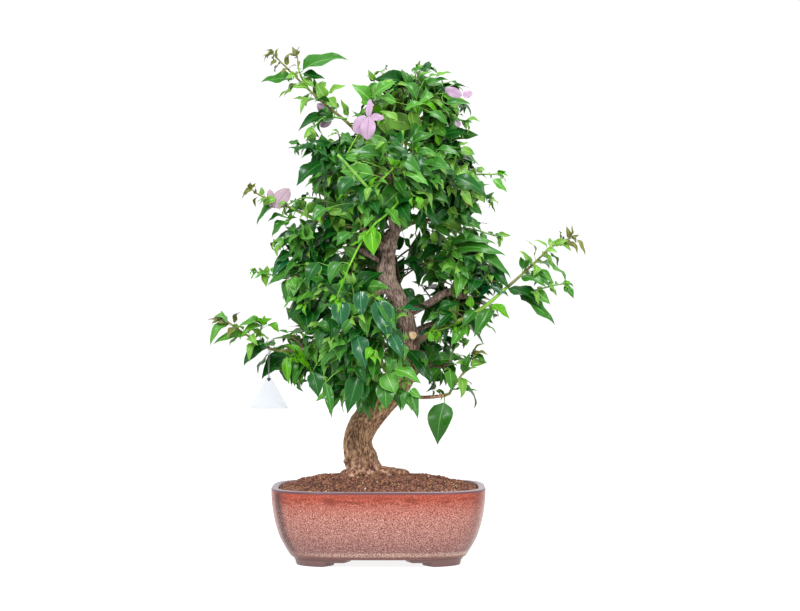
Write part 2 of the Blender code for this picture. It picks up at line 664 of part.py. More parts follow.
def grow_shoot(name, stem, space, leaves, limbs, blades, rng, collection):
    """Leaves sit straight on a long stem at golden turns, smaller towards its tip, with one in line at the end."""
    solids = []
    for k in range(leaves):
        last = k == leaves - 1
        share = 1.0 if last else (k + 0.6) / leaves
        place = min(int(share * (len(stem) - 1)), len(stem) - 2)
        part = share * (len(stem) - 1) - place
        along = unit(stem[place + 1, :3] - stem[place, :3])
        origin = stem[place, :3] * (1 - part) + stem[place + 1, :3] * part
        for attempt in range(LEAF_TRIES):
            way, face = leaf_along(origin, along, k * GOLDEN_TURN + attempt, rng, 1.0, LEAF_DROOP)
            size = LEAF_LENGTH * (0.9 - 0.4 * share) * rng.uniform(0.85, 1.1)
            if last:
                way, size, origin = along, TIP_LEAF, stem[-1, :3] - along
            corners = leaf_corners(origin, way, face, size)
            if last or leaf_fits(corners, name, space, limbs, blades):
                solids.append(leaf_solid("leaf", corners, collection))
                add_blade(blades, corners)
                break
    return solids


def make_foliage(collection, look, limb_paths, tag_rows):
    """Every mass as one fused solid."""
    spaces, stems, limbs, blades = {}, {}, Obstacles(), Obstacles()
    for name, rows in limb_paths.items():
        limbs.add(rows, name)
    limbs.add(tag_rows, "tag")
    for name, (limb, centre, radii, _, _) in BUSHY.items():
        spaces[name] = Space(name, centre, radii)
        tip = limb_paths[limb][-1, :3]
        far = np.array(centre, float) + 0.35 * (np.array(centre, float) - tip)
        stems[name] = stem_rows(limb_paths[limb], np.array((centre, far), float))
    for name, (limb, points, _, width) in SHOOTS.items():
        points = np.array(points, float)
        stems[name] = stem_rows(limb_paths[limb], points)
        middle = (stems[name][0, :3] + points[-1]) / 2
        half = float(np.linalg.norm(points[-1] - stems[name][0, :3])) / 2 + width
        spaces[name] = Space(name, middle, (half, half, half))
        spaces[name].size2 = (half - width * 0.75) ** 2
    for name, stem in stems.items():
        limbs.add(stem, name)
        blades.add(stem, name)
    for space in spaces.values():
        space.set_neighbours(spaces.values())
    for number, (name, stem) in enumerate(stems.items()):
        rng = np.random.RandomState(SEED + number)
        solids = marked_leaves(name, stem, blades, collection)
        if name in BUSHY:
            twigs, leaves = BUSHY[name][3:]
            solids += grow_bushy(name, stem, spaces[name], twigs, leaves, limbs, blades, rng, collection)
        else:
            solids += grow_shoot(name, stem, spaces[name], SHOOTS[name][2], limbs, blades, rng, collection)
        mass = tube(name, stem, collection, resolution=0)
        combine(mass, solids, "UNION")
        keep_main_body(mass)
        mass.data.materials.clear()
        mass.data.materials.append(look)


# ================================================================ swing tag
def tag_rows():
    """The thread of the tag: from just under the shoot to the eyelet."""
    x, y, z = TAG_TOP
    return np.array(((x, y, z + TAG_THREAD, THREAD_RADIUS), (x, y, z - TAG_EYELET, THREAD_RADIUS),
                     (x, y, z - TAG_SIZE[1], TAG_SIZE[0] / 2)))


def make_tag(collection, look):
    """A bare three-cornered card that hangs by a thread from the shoot above it."""
    x, y, z = TAG_TOP
    width, height, thick = TAG_SIZE

    def fill(bm):
        bmesh.ops.create_cone(bm, cap_ends=True, segments=3, radius1=1.0, radius2=1.0, depth=1.0)
        for vertex in bm.verts:
            across, up, deep = vertex.co
            vertex.co = Vector((x + across * width / math.sqrt(3), y + deep * thick,
                                z - height + (up + 0.5) * height / 1.5)) * MM
        bmesh.ops.recalc_face_normals(bm, faces=bm.faces[:])
    card = new_object("swing_tag", mesh_from("swing_tag", fill), collection)
    thread = tube("thread", tag_rows()[:2], collection, resolution=1)
    combine(card, [thread], "UNION")
    keep_main_body(card)
    card.data.materials.clear()
    card.data.materials.append(look)
    return card


def shade_round(things):
    """Smooth shading with sharp edges kept."""
    for thing in things:
        thing.data.shade_smooth()
        thing.data.set_sharp_from_angle(angle=math.radians(35))


def main():
    clear_scene()
    plant = bpy.data.collections.new("bougainvillea_bonsai")
    bpy.context.scene.collection.children.link(plant)
    glaze = material("glazed_stoneware", (0.46, 0.16, 0.12), 0.3)
    earth = material("granular_soil", (0.08, 0.035, 0.02), 0.95)
    bark = material("bark", (0.30, 0.19, 0.12), 0.85)
    green = material("foliage", (0.06, 0.2, 0.03), 0.5)
    card = material("card", (0.9, 0.9, 0.88), 0.6)
    make_pot(plant, glaze)
    make_soil(plant, earth)
    trunk = make_trunk(plant, bark)
    limb_paths = make_limbs(plant, bark)
    make_foliage(plant, green, limb_paths, tag_rows())
    make_tag(plant, card)
    shade_round([plant.objects["pot"], plant.objects["soil"], trunk])


main()
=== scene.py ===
"""Looks of a bougainvillea bonsai: fissured trunk, leafy boughs and lilac bracts in a glazed red pot.

Tables and shapes are in millimetres and are turned to metres when a mesh is filled.
+Z is up, and the front of the plant faces -Y.
"""
import itertools
import math

import bpy
import numpy as np
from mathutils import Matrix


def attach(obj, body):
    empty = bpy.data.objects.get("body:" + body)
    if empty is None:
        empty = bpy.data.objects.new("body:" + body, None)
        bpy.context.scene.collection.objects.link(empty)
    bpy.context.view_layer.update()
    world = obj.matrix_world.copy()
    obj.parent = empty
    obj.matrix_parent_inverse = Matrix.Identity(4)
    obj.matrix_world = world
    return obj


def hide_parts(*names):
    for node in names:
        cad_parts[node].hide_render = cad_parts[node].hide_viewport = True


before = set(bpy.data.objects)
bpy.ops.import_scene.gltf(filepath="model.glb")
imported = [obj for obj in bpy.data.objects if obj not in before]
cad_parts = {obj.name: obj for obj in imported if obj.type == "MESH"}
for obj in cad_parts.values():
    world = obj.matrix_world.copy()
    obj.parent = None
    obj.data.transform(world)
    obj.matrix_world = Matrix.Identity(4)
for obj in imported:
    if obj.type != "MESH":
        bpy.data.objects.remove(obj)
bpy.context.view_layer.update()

MM = 0.001
GOLDEN_TURN = math.radians(137.5)
UP, DOWN, FRONT = np.array((0.0, 0, 1)), np.array((0.0, 0, -1)), np.array((0.0, -1, 0))

# ---------------------------------------------------------------- camera
CAMERA_PLACE = (0.0018, -2.6, 0.302)
LENS = 98.7

# ---------------------------------------------------------------- studio
# The surround and the open floor come out pure white. The floor glows by itself, so that it is hardly darker
# between the pot's feet than in the open.
SURROUND_GLOW = 1.05
FLOOR_GLOW = 0.86
FLOOR_EDGES = (-6000, 6000, -4500, 9000)    # left, right, front, back
# Disc lamps. name, place, width, power, colour
LAMPS = (("key", (-0.9, -1.8, 1.8), 0.5, 50, "#f4f8ff"), ("fill", (1.3, -1.8, 1.2), 0.5, 20, "#ffffff"),
         ("top", (0.55, 0.0, 2.2), 1.0, 30, "#ffffff"))
LAMPS_AIM = (0.0, 0.0, 0.3)

# ---------------------------------------------------------------- pot and soil
POT_X = -23.5
POT_HALF = (126.0, 101.0)
POT_SQUARENESS = 3.6
# Height and inset from the rim: up the outside, over the lip and down to the floor inside
POT_PROFILE = (
    (9.0, 24.2), (9.4, 23.0), (12.5, 20.4), (21.5, 15.2), (33, 9.3), (51, 4.0), (66, 1.4), (76, 0.4), (84, 0),
    (87.3, 0), (88.5, 0.5), (89, 1.7), (89.1, 4.4), (88.9, 7.2), (88.2, 8.3), (86, 8.7), (74, 9.2),
    (51, 13.5), (33, 21), (22, 30), (19, 36))
BODY_FOOT, BODY_INSET = POT_PROFILE[0]
FLOOR_TOP, FLOOR_INSET = POT_PROFILE[-1]
FLOOR_SHARES = (0.02, 0.3, 0.6, 0.85)    # rings across the underside and the floor, as shares of the edge
# The band of feet: insets of its upper and lower edge, and of the inner edge of its underside. Nearer the
# middle of a side than each step's first number, the lower edge rises to its second
FOOT_INSET = (24.5, 27.5)
UNDERSIDE_INSET = 46.0
FOOT_STEPS = ((62.0, 5.0), (37.0, 9.6))
FOOT_SLOPE = 4.0
DRAIN_RADIUS, DRAIN_REACH, DRAIN_CUT = 8.0, 48.0, 40.0
SOIL_EDGE, SOIL_TOP = 87.0, 101.5
SOIL_INSET = 9.1
SOIL_HALF = np.array(POT_HALF) - SOIL_INSET
SOIL_SEAT = ((-30.0, -2.0), (60.0, 34.0))    # middle and half sizes of the level ground round the trunk
SOIL_RINGS, SOIL_SIDES = 60, 200
LUMP_HEIGHT = 1.5
LUMP_SPACING = (41.0, 37.0)
GRANULES = 12000
GRANULE_SIZE = (0.75, 1.2)    # half the size of the smallest, and how much more the largest has
GRANULE_SHARES = (0.48, 0.42, 0.092, 0.008)

# ---------------------------------------------------------------- trunk and limbs
# The trunk's middle from the foot up: x, y, z and radius
TRUNK = ((-40, 0, 96, 20.5), (-43, 0, 117, 19.0), (-49, -1, 140, 16.4), (-42, -1, 160, 16.2),
         (-25, 1, 181, 15.2), (-6, 4, 199, 13.8), (7, 6, 219, 12.8), (12, 6, 245, 11.8),
         (11, 3, 275, 10.6), (4, 0, 300, 9.5), (-10, -3, 326, 9.6), (-15, -4, 348, 10.6),
         (-12, -3, 374, 9.2), (-4, 0, 393, 6.2), (-2, 3, 414, 5.2), (-11, 4, 447, 4.2),
         (-22, 2, 478, 3.3), (-28, 0, 500, 2.7))
# Limbs: the points they pass, the radius at the base and the radius at the tip
ROOTS = (
    ((-34, -4, 104), (-8, -7, 103), (14, -9, 100), 9.0, 6.0),
    ((-42, -8, 103), (-51, -19, 102), (-59, -29, 97), 9.0, 5.0),
    ((-44, 6, 103), (-58, 10, 101), (-71, 14, 97), 9.0, 5.0),
    ((-36, 8, 103), (-28, 18, 101), (-19, 28, 97), 9.0, 5.0),
)
STUB = ((10, 4, 266), (14, -6, 266.5), (17, -15, 267), 6.0, 5.0)
LIMBS = {
    "bough_low_right": (((-8, 3, 199), (22, -9, 194), (38, -12, 194), (55, -14, 196)), 3.0, 2.0),
    "bough_low_front": (((2, 5, 210), (-10, -20, 211), (-18, -32, 212)), 3.2, 2.4),
    "bough_low_side": (((9, 6, 226), (25, 8, 228), (35, 8, 228)), 3.0, 2.2),
    "bough_back_low": (((10, 6, 229), (4, 32, 240), (-2, 46, 246)), 3.4, 2.4),
    "bough_left_shoot": (((11, 6, 239), (-16, -13, 232), (-69, -24, 251), (-129, -26, 249)), 3.4, 2.0),
    "bough_low_left": (((12, 6, 248), (-25, 20, 243), (-60, 14, 238)), 3.4, 2.4),
    "bough_front": (((12, 5, 256), (-4, -24, 264), (-18, -42, 270)), 3.4, 2.4),
    "bough_right_shoot": (((12, 5, 252), (37, -16, 268), (92, -34, 295), (128, -34, 324)), 3.2, 1.9),
    "bough_right_low": (((12, 4, 268), (28, 9, 276), (38, 10, 280)), 3.4, 2.6),
    "bough_right": (((7, 1, 290), (35, -5, 304), (57, -8, 318), (74, -9, 313)), 5.0, 4.0),
    "bough_back": (((5, 0, 300), (6, 34, 312), (2, 48, 322)), 3.8, 2.6),
    "bough_left_low": (((-8, -2, 322), (-36, -6, 314), (-52, -8, 311)), 3.8, 2.6),
    "bough_left": (((-15, -4, 350), (-42, -2, 366), (-56, -2, 374)), 3.8, 2.6),
    "bough_sprig": (((-13, -4, 368), (-42, -26, 392), (-81, -34, 397), (-126, -34, 416)), 3.0, 1.6),
    "bough_right_high": (((-6, -1, 388), (14, 8, 399), (27, 10, 403)), 3.2, 2.4),
    "bough_front_high": (((-6, -1, 386), (-9, -32, 404), (-10, -50, 416)), 3.4, 2.4),
    "bough_back_high": (((-3, 2, 402), (0, 34, 426), (0, 50, 440)), 3.4, 2.4),
    "bough_upper_left": (((-2, 3, 414), (-30, -8, 434), (-44, -13, 447)), 3.2, 2.4),
    "bough_upper_right": (((-5, 3, 428), (18, 3, 448), (29, 3, 457)), 3.0, 2.2),
    "bough_leader": (((-14, 4, 456), (-36, -6, 490), (-55, -13, 513)), 2.8, 2.0),
}
GREEN_LIMBS = ("bough_leader", "bough_right_shoot", "bough_sprig")
# Sawn ends: middle, the way they face, radius
SAWN_ENDS = (((17, -15.3, 267), (0.25, -1, 0.1), 4.6), ((-13, -62, 240), (0.2, -1, 0.3), 2.2))
# Scar of a lost limb on the trunk's left with its half sizes, and the swollen collar and the groove beside it
SCAR_PLACE, SCAR_SIZE = (-27, -9, 357), (6, 8, 6.5)
COLLAR_HEIGHT, COLLAR_WIDTH = 371, 2.4
GROOVE_HEIGHT, GROOVE_WIDTH = 366, 1.6
COLLAR_MIDDLE = (-13, -3, 0)

# ---------------------------------------------------------------- foliage
# Bushy masses. name: limb, centre and radii of its space, number of twigs
BUSHY = {
    "foliage_top": ("trunk", (8, 0, 536), (80, 62, 54), 30),
    "foliage_upper_left": ("bough_upper_left", (-66, -22, 472), (54, 56, 52), 24),
    "foliage_upper_right": ("bough_upper_right", (54, 2, 464), (56, 60, 52), 26),
    "foliage_front_high": ("bough_front_high", (-8, -78, 446), (62, 54, 54), 26),
    "foliage_back_high": ("bough_back_high", (0, 76, 468), (84, 52, 66), 26),
    "foliage_left": ("bough_left", (-84, -4, 400), (68, 62, 50), 26),
    "foliage_left_low": ("bough_left_low", (-90, -10, 326), (64, 62, 52), 26),
    "foliage_right_high": ("bough_right_high", (58, 8, 402), (50, 54, 40), 22),
    "foliage_right": ("bough_right", (84, -6, 344), (52, 54, 38), 22),
    "foliage_right_low": ("bough_right_low", (60, 10, 298), (56, 54, 42), 15),
    "foliage_front": ("bough_front", (-42, -77, 274), (54, 54, 66), 26),
    "foliage_low_left": ("bough_low_left", (-102, 8, 246), (56, 54, 42), 20),
    "foliage_low_front": ("bough_low_front", (-36, -44, 210), (50, 54, 42), 16),
    "foliage_low_right": ("bough_low_side", (58, 4, 232), (42, 48, 38), 10),
    "foliage_back": ("bough_back", (-2, 76, 352), (86, 52, 62), 22),
    "foliage_back_low": ("bough_back_low", (-12, 76, 252), (78, 52, 48), 18),
}
# Long single shoots. name: limb, further points of the stem, leaves, how far leaves may lie from the stem
SHOOTS = {
    "shoot_leader": ("bough_leader", ((-89, -17, 541), (-115, -20, 565), (-146, -22, 596)), 20, 62),
    "shoot_left": ("bough_left_shoot", ((-150, -27, 251), (-182, -28, 270), (-204, -28, 286)), 20, 50),
    "shoot_right": ("bough_right_shoot", ((155, -33, 348), (180, -32, 371), (201, -32, 381)), 22, 60),
    "shoot_low_right": ("bough_low_right", ((64, -15, 206), (80, -15, 228), (87, -15, 244)), 9, 60),
    "shoot_sprig": ("bough_sprig", ((-140, -34, 423), (-160, -34, 430), (-170, -34, 436)), 10, 40),
}
# Further stems in and before the masses, bare or leafy. points, radius at the base, number of leaves, their
# length near the base, tint, whether the end is cut off
SPRIGS = (
    (((-4, -90, 428), (-2, -110, 415), (-25, -120, 396), (-37, -122, 382), (-54, -120, 350),
      (-69, -114, 313)), 1.5, 7, 22, "lime", False),
    (((-22, -92, 430), (-33, -110, 434), (-53, -115, 456), (-69, -111, 473)), 1.9, 0, 0, "fresh", True),
    (((-28, -96, 424), (-25, -114, 437), (-5, -119, 458)), 1.3, 4, 20, "lime", False),
    (((0, -50, 468), (1, -60, 476), (5, -61, 505)), 2.4, 0, 0, "lime", True),
    (((62, -4, 452), (82, -8, 456), (102, -10, 457), (114, -10, 457)), 1.5, 7, 20, "fresh", False),
    (((138, -34, 317), (156, -34, 319), (180, -34, 325), (191, -34, 327)), 1.3, 7, 26, "fresh", False),
    (((-62, -60, 462), (-60, -74, 474), (-48, -78, 496), (-38, -84, 512)), 1.3, 0, 0, "lime", False),
    (((-112, -16, 335), (-135, -20, 337), (-150, -20, 338), (-165, -20, 341)), 1.3, 8, 20, "lime", False),
    (((-112, -18, 566), (-117, -19, 578), (-119, -20, 594)), 1.2, 6, 15, "bronze", False),
    (((24, 0, 560), (20, -6, 572), (22, -8, 580)), 1.2, 6, 24, "fresh", False),
    (((30, -20, 268), (38, -30, 271), (60, -34, 277)), 1.2, 5, 17, "lime", False),
    (((49, -20, 394), (85, -24, 392), (112, -26, 384)), 1.3, 8, 30, "mid", False),
    (((50, -14, 353), (84, -16, 350), (106, -18, 340)), 1.3, 8, 32, "deep", False),
    (((-70, -34, 421), (-108, -40, 428), (-128, -44, 420)), 1.3, 7, 32, "mid", False),
    (((-90, -30, 374), (-122, -34, 384), (-140, -36, 376)), 1.3, 8, 32, "bright", False),
    (((-84, -26, 480), (-104, -28, 490), (-114, -30, 490)), 1.3, 6, 30, "deep", False),
    (((24, -30, 534), (58, -34, 528), (76, -36, 516)), 1.3, 8, 30, "mid", False),
    (((70, -12, 432), (92, -14, 436), (104, -14, 428)), 1.3, 6, 30, "mid", False),
    (((-60, -36, 520), (-86, -40, 522), (-98, -42, 510)), 1.3, 6, 30, "mid", False),
)
# Leaves with places of their own. group: depth, then x and z of the root and of the tip, width, bend and tint
MARKED = {
    "right shoot": (-34, (
        (174, 369, 157, 377, 9, 1.4, "fresh"), (200, 381, 196, 395, 7, 0.7, "bronze"),
        (187, 375, 202, 365, 9, 1.3, "fresh"), (201, 377, 209, 362, 7, 1, "bronze"),
        (209, 379, 218, 360, 7, 1.1, "bronze"), (155, 348, 140, 366, 17, 0.8, "fresh"),
        (167, 351, 195, 327, 19, 1.7, "bright"), (163, 344, 182, 326, 11, 1.2, "bright"),
        (195, 326, 205, 310, 11, 1, "mid"), (161, 318, 177, 303, 14, 1, "bright"),
        (142, 314, 183, 279, 23, 0.7, "mid"), (128, 322, 170, 296, 24, 1.1, "deep"),
        (74, 353, 132, 333, 30, 1.5, "mid"), (60, 375, 115, 373, 18, 1.2, "mid"),
        (66, 369, 126, 360, 20, 1.2, "mid"), (43, 342, 93, 320, 30, 0.5, "mid"),
        (107, 348, 129, 321, 18, 0.8, "deep"), (107, 299, 88, 265, 19, 0.5, "mid"),
        (90, 297, 74, 276, 15, 0.5, "mid"), (76, 276, 61, 255, 18, 0.4, "bright"),
        (63, 294, 42, 273, 20, 0.6, "deep"), (84, 300, 85, 315, 11, 0.3, "lime"),
        (109, 303, 130, 286, 15, 0.6, "lime"), (39, 260, 36, 273, 8, 0.4, "lime"),
        (42, 262, 51, 270, 7, 0.4, "lime"), (107, 325, 81, 337, 12, 0.4, "glossy"),
        (107, 325, 95, 311, 10, 0.3, "glossy"), (108, 325, 129, 312, 12, 0.5, "glossy"),
        (107, 325, 91, 322, 9, 0.3, "glossy"))),
    "left shoot": (-28, (
        (-200, 284, -216, 289, 17, 1.5, "bright"), (-203, 284, -219, 281, 8, 0.7, "fresh"),
        (-202, 281, -220, 255, 15, 1.3, "bright"), (-181, 267, -217, 256, 15, 0.9, "bright"),
        (-160, 280, -187, 276, 15, 1.6, "bright"), (-159, 279, -168, 289, 11, 0.5, "lime"),
        (-158, 279, -147, 287, 11, 0.5, "lime"), (-158, 279, -157, 291, 8, 0.3, "lime"),
        (-161, 279, -185, 264, 16, 1, "lime"), (-152, 280, -140, 270, 13, 0.9, "lime"),
        (-152, 264, -169, 266, 10, 0.8, "fresh"), (-153, 256, -181, 231, 25, 1.4, "deep"),
        (-131, 242, -128, 209, 12, 0.8, "lime"), (-131, 256, -101, 218, 13, 0.7, "lime"),
        (-126, 242, -135, 249, 5, 0.3, "lime"), (-126, 242, -117, 250, 5, 0.3, "lime"),
        (-126, 242, -130, 230, 5, 0.3, "lime"), (-126, 242, -114, 233, 5, 0.3, "lime"),
        (-112, 236, -124, 211, 17, 0.5, "mid"), (-103, 233, -117, 208, 18, 0.5, "mid"),
        (-100, 238, -71, 191, 26, 0.5, "deep"))),
    "behind the tag": (-14, ((-128, 242, -161, 215, 31, 0.8, "deep"),)),
    "leader": (-20, (
        (-113, 578, -58, 590, 30, 1.0, "mid"), (-112, 575, -86, 568, 14, 0.6, "deep"),
        (-124, 568, -162, 564, 24, 0.5, "mid"), (-118, 561, -141, 545, 14, 0.6, "fresh"),
        (-108, 541, -125, 545, 11, 0.5, "fresh"), (-112, 568, -99, 558, 14, 0.6, "fresh"),
        (-86, 546, -97, 564, 17, 0.3, "fresh"), (-82, 552, -61, 560, 13, 0.6, "fresh"),
        (-84, 546, -72, 534, 16, 0.5, "fresh"), (-59, 525, -68, 545, 9, 0.4, "fresh"),
        (-75, 523, -118, 506, 26, 1.6, "deep"), (-144, 591, -151, 583, 6, 0.4, "bronze"))),
    "upper left": (-42, (
        (-33, 542, -55, 560, 23, 0.4, "bright"), (-87, 479, -90, 502, 22, 0.4, "mid"),
        (-86, 474, -130, 485, 17, 1, "deep"), (-88, 469, -119, 441, 28, 0.8, "deep"),
        (-58, 479, -30, 460, 18, 0.8, "fresh"), (-67, 476, -85, 460, 16, 0.8, "bright"))),
    "upper right": (-30, (
        (12, 555, 3, 579, 20, 0.3, "mid"), (15, 577, 31, 581, 6, 0.4, "mid"),
        (23, 566, 40, 576, 13, 0.5, "fresh"), (44, 570, 63, 574, 12, 0.6, "fresh"),
        (32, 560, 59, 566, 18, 0.8, "mid"), (63, 540, 85, 536, 13, 0.6, "fresh"),
        (32, 537, 60, 530, 16, 1, "deep"), (28, 523, 53, 518, 16, 0.8, "mid"),
        (51, 499, 84, 501, 24, 1.3, "deep"), (49, 490, 42, 503, 12, 0.3, "lime"),
        (29, 490, 43, 481, 15, 0.6, "mid"), (58, 481, 77, 469, 16, 0.8, "fresh"),
        (22, 468, 69, 441, 20, 1, "mid"), (87, 451, 101, 429, 14, 0.7, "mid"),
        (111, 450, 127, 434, 12, 0.8, "bright"), (76, 449, 79, 435, 12, 0.4, "fresh"),
        (81, 435, 81, 416, 12, 0.4, "bronze"), (87, 435, 101, 422, 11, 0.6, "fresh"),
        (84, 420, 98, 408, 12, 0.6, "mid"), (66, 402, 97, 389, 26, 1.2, "mid"),
        (60, 417, 70, 403, 13, 0.4, "fresh"), (35, 396, 63, 379, 19, 0.7, "mid"))),
    "upper front": (-66, (
        (-27, 546, -2, 561, 19, 0.6, "bright"), (-3, 537, -25, 545, 12, 0.6, "bright"),
        (-28, 464, -58, 480, 17, 1, "bright"), (30, 467, 69, 446, 18, 1.3, "deep"),
        (64, 450, 103, 424, 18, 1.2, "deep"), (73, 435, 86, 415, 12, 0.5, "fresh"),
        (36, 526, 58, 509, 13, 0.8, "mid"), (55, 535, 83, 535, 12, 1, "mid"),
        (8, 528, 31, 535, 13, 0.7, "bright"), (45, 482, 72, 472, 14, 1.2, "mid"),
        (-1, 516, -22, 526, 12, 0.7, "fresh"), (-37, 508, -54, 526, 14, 0.6, "mid"),
        (30, 563, 49, 569, 10, 0.6, "bright"), (17, 491, 43, 500, 15, 1, "mid"))),
    "left edge": (-30, (
        (-135, 408, -153, 400, 13, 0.7, "mid"), (-129, 400, -148, 382, 19, 1.1, "mid"),
        (-128, 403, -139, 406, 7, 0.3, "lime"), (-128, 403, -118, 405, 7, 0.3, "lime"),
        (-128, 403, -132, 394, 7, 0.3, "lime"), (-128, 403, -125, 412, 7, 0.3, "lime"),
        (-110, 416, -119, 426, 13, 0.4, "fresh"), (-106, 416, -133, 408, 18, 1, "mid"),
        (-114, 389, -141, 365, 18, 0.9, "deep"), (-127, 365, -145, 351, 15, 0.7, "deep"),
        (-104, 390, -128, 359, 22, 0.7, "mid"), (-110, 371, -124, 352, 15, 0.5, "mid"),
        (-114, 344, -153, 325, 18, 1.1, "mid"), (-129, 359, -148, 335, 17, 0.5, "glossy"),
        (-124, 332, -132, 305, 24, 0.6, "mid"), (-113, 327, -124, 307, 15, 0.5, "glossy"),
        (-159, 339, -155, 323, 12, 0.5, "fresh"), (-160, 340, -161, 348, 8, 0.3, "fresh"),
        (-154, 341, -153, 349, 8, 0.3, "fresh"), (-151, 428, -163, 420, 14, 0.7, "fresh"),
        (-151, 340, -169, 333, 10, 0.9, "bright"))),
    "crown front": (-119, (
        (-31, 388, -28, 358, 23, 0.5, "lime"), (-34, 386, -46, 372, 11, 0.3, "lime"),
        (-26, 307, -11, 262, 29, 0.6, "glossy"), (-8, 269, 5, 242, 16, 0.6, "glossy"),
        (-66, 307, -64, 275, 26, 0.5, "glossy"), (-43, 318, -41, 288, 19, 0.4, "glossy"),
        (-19, 309, -2, 273, 16, 0.5, "mid"), (-47, 268, -37, 230, 22, 0.9, "glossy"),
        (-77, 288, -77, 261, 17, 0.5, "deep"), (-14, 412, 2, 389, 17, 0.6, "bright"),
        (-65, 351, -77, 325, 20, 0.7, "mid"), (-91, 351, -105, 326, 20, 0.7, "deep"),
        (-55, 385, -70, 369, 16, 0.7, "mid"), (-82, 412, -97, 396, 18, 0.8, "mid"),
        (-52, 446, -68, 426, 20, 0.9, "deep"), (4, 466, 24, 448, 20, 1, "mid"),
        (-12, 482, 10, 475, 16, 0.9, "deep"), (-30, 405, -39, 389, 12, 0.4, "bright"))),
    "low front": (-106, (
        (-14, 225, -3, 201, 26, 0.5, "bright"), (-16, 215, -14, 183, 23, 0.4, "mid"),
        (-4, 230, 26, 213, 20, 0.7, "bright"), (-21, 233, -43, 216, 22, 0.8, "mid"),
        (-46, 221, -58, 179, 24, 0.5, "deep"), (-83, 214, -76, 174, 12, 0.5, "mid"),
        (-40, 212, -39, 192, 15, 0.4, "deep"), (13, 204, 22, 173, 13, 0.5, "mid"),
        (11, 205, 5, 182, 12, 0.5, "mid"), (13, 206, 26, 195, 11, 0.5, "bright"),
        (4, 298, 29, 296, 12, 0.5, "glossy"), (-98, 226, -91, 197, 20, 0.5, "deep"),
        (-69, 249, -87, 226, 20, 0.9, "mid"))),
    "right of the trunk": (6, (
        (29, 354, -3, 347, 13, 1, "deep"), (15, 356, 24, 323, 19, 0.5, "deep"),
        (52, 373, 24, 354, 20, 0.7, "deep"), (7, 382, 15, 366, 9, 0.5, "mid"),
        (7, 322, 21, 301, 16, 0.6, "deep"), (40, 305, 49, 272, 22, 0.5, "deep"),
        (70, 309, 68, 282, 16, 0.5, "fresh"), (49, 354, 35, 328, 15, 0.7, "mid"),
        (23, 309, 11, 287, 14, 0.8, "glossy"))),
    "low right": (-17, (
        (54, 188, 46, 138, 32, 0.6, "mid"), (67, 204, 94, 201, 7, 0.8, "mid"),
        (84, 243, 104, 233, 18, 0.5, "mid"), (60, 226, 62, 201, 19, 0.3, "bright"),
        (12, 198, 23, 171, 13, 0.4, "mid"), (11, 250, 39, 208, 22, 0.6, "deep"),
        (75, 224, 84, 247, 12, 0.4, "mid"))),
}
# Bracts: root, tip, width, tint
BRACTS = (
    ((-34.5, -96, 517), (-50, -101, 499), 19, "bract"), ((-33.5, -98, 517), (-36, -104, 491), 18, "bract"),
    ((-34.5, -95, 517), (-33, -99, 538), 8, "bract"), ((-33.5, -95, 517), (-16, -97, 517), 9, "bract"),
    ((-146, -38, 416), (-128, -41, 440), 19, "faded"), ((-147, -36, 416), (-151, -40, 438), 10, "faded"),
    ((74, -46, 546), (54, -51, 555), 12, "bract"), ((75, -46, 546), (86, -49, 550), 9, "bract"),
    ((71, -46, 510), (67, -49, 518), 7, "bract"), ((-80, -8, 526), (-96, -12, 541), 12, "bract"),
    ((-80, -8, 524), (-92, -12, 513), 11, "bract"),
)
# The crown's edges seen from the front: height, left, right
CROWN_EDGE = np.array((
    (600, -60, 70), (560, -65, 85), (531, -90, 78), (502, -99, 80), (468, -108, 98), (433, -95, 94),
    (397, -146, 92), (365, -130, 120), (338, -136, 127), (314, -136, 127), (291, -130, 130), (267, -158, 86),
    (241, -158, 78), (214, -136, 62), (188, -92, 50), (160, -80, 30)))
# Clear sky through the crown, seen from the front: x, z and half sizes
SKY = np.array(((9, 336, 9, 16), (8, 368, 9, 16), (58, 390, 22, 6), (33, 285, 6, 10), (31, 210, 9, 12),
                (-118, 405, 14, 9), (44, 322, 4, 12)), float)
CROWN_FOOT = 180.0    # no leaf grown by the rule hangs lower than this
# The trunk shows bare between two heights: no leaf hangs before it, to a distance either side of its middle
BARE_TRUNK = (306.0, 404.0, 14.0)

STEM_TIP_RADIUS = 1.5
STEM_ROWS = 9
TWIG_SHARES = (0.86, 0.72, 0.58, 0.42, 0.28)    # how far out a twig's end is tried, as shares of its space
TWIG_RADII = (1.25, 0.7)    # at the foot and at the tip
GREEN_TWIGS = 0.3    # share of the twigs that are green
LIGHTER_TIPS = 0.5    # share of the sprays whose last leaf is a tint lighter
LEAF_LENGTH = 50.0
TIP_LEAF_LENGTH = 0.55 * LEAF_LENGTH
LEAF_SPACING = 10.0
LEAF_TRIES = 6
SHOOT_LEAF = 34.0
SPACE_SLACK = 1.28
SEED = 21
# Exponents of a blade's outline at its base and its tip, and its margin's ripple as a share of its length
LEAF_OUTLINE, BRACT_OUTLINE = (0.62, 1.32), (0.5, 0.62)
RIPPLE = 0.1
BLADE_ROWS = 10
# Share of the sprays in each tint at the lower height in the crown, and at the higher. Tints are dealt at
# random, and lighter ones are likelier higher up: painted light from above and painted shade lower down.
TINT_NAMES = ("deep", "mid", "bright", "fresh", "lime")
TINT_HEIGHTS = (230, 490)
TINT_LOW = (0.48, 0.36, 0.12, 0.03, 0.01)
TINT_HIGH = (0.18, 0.42, 0.25, 0.12, 0.03)
# Tint of the tuft at a spray's tip
YOUNGER = {"deep": "mid", "mid": "fresh", "bright": "fresh", "fresh": "lime"}
SHOOT_TINTS = ("mid", "fresh", "fresh", "bronze")    # from the foot of a long shoot to its tip
BRACT_TINTS = ("bract", "faded")

# ---------------------------------------------------------------- swing tag
TAG_TOP = (-152, -27, 222)
TAG_SIZE = (47, 41)
TAG_CORNER = 0.955    # how far the rounded corners reach, where sharp ones would reach 1
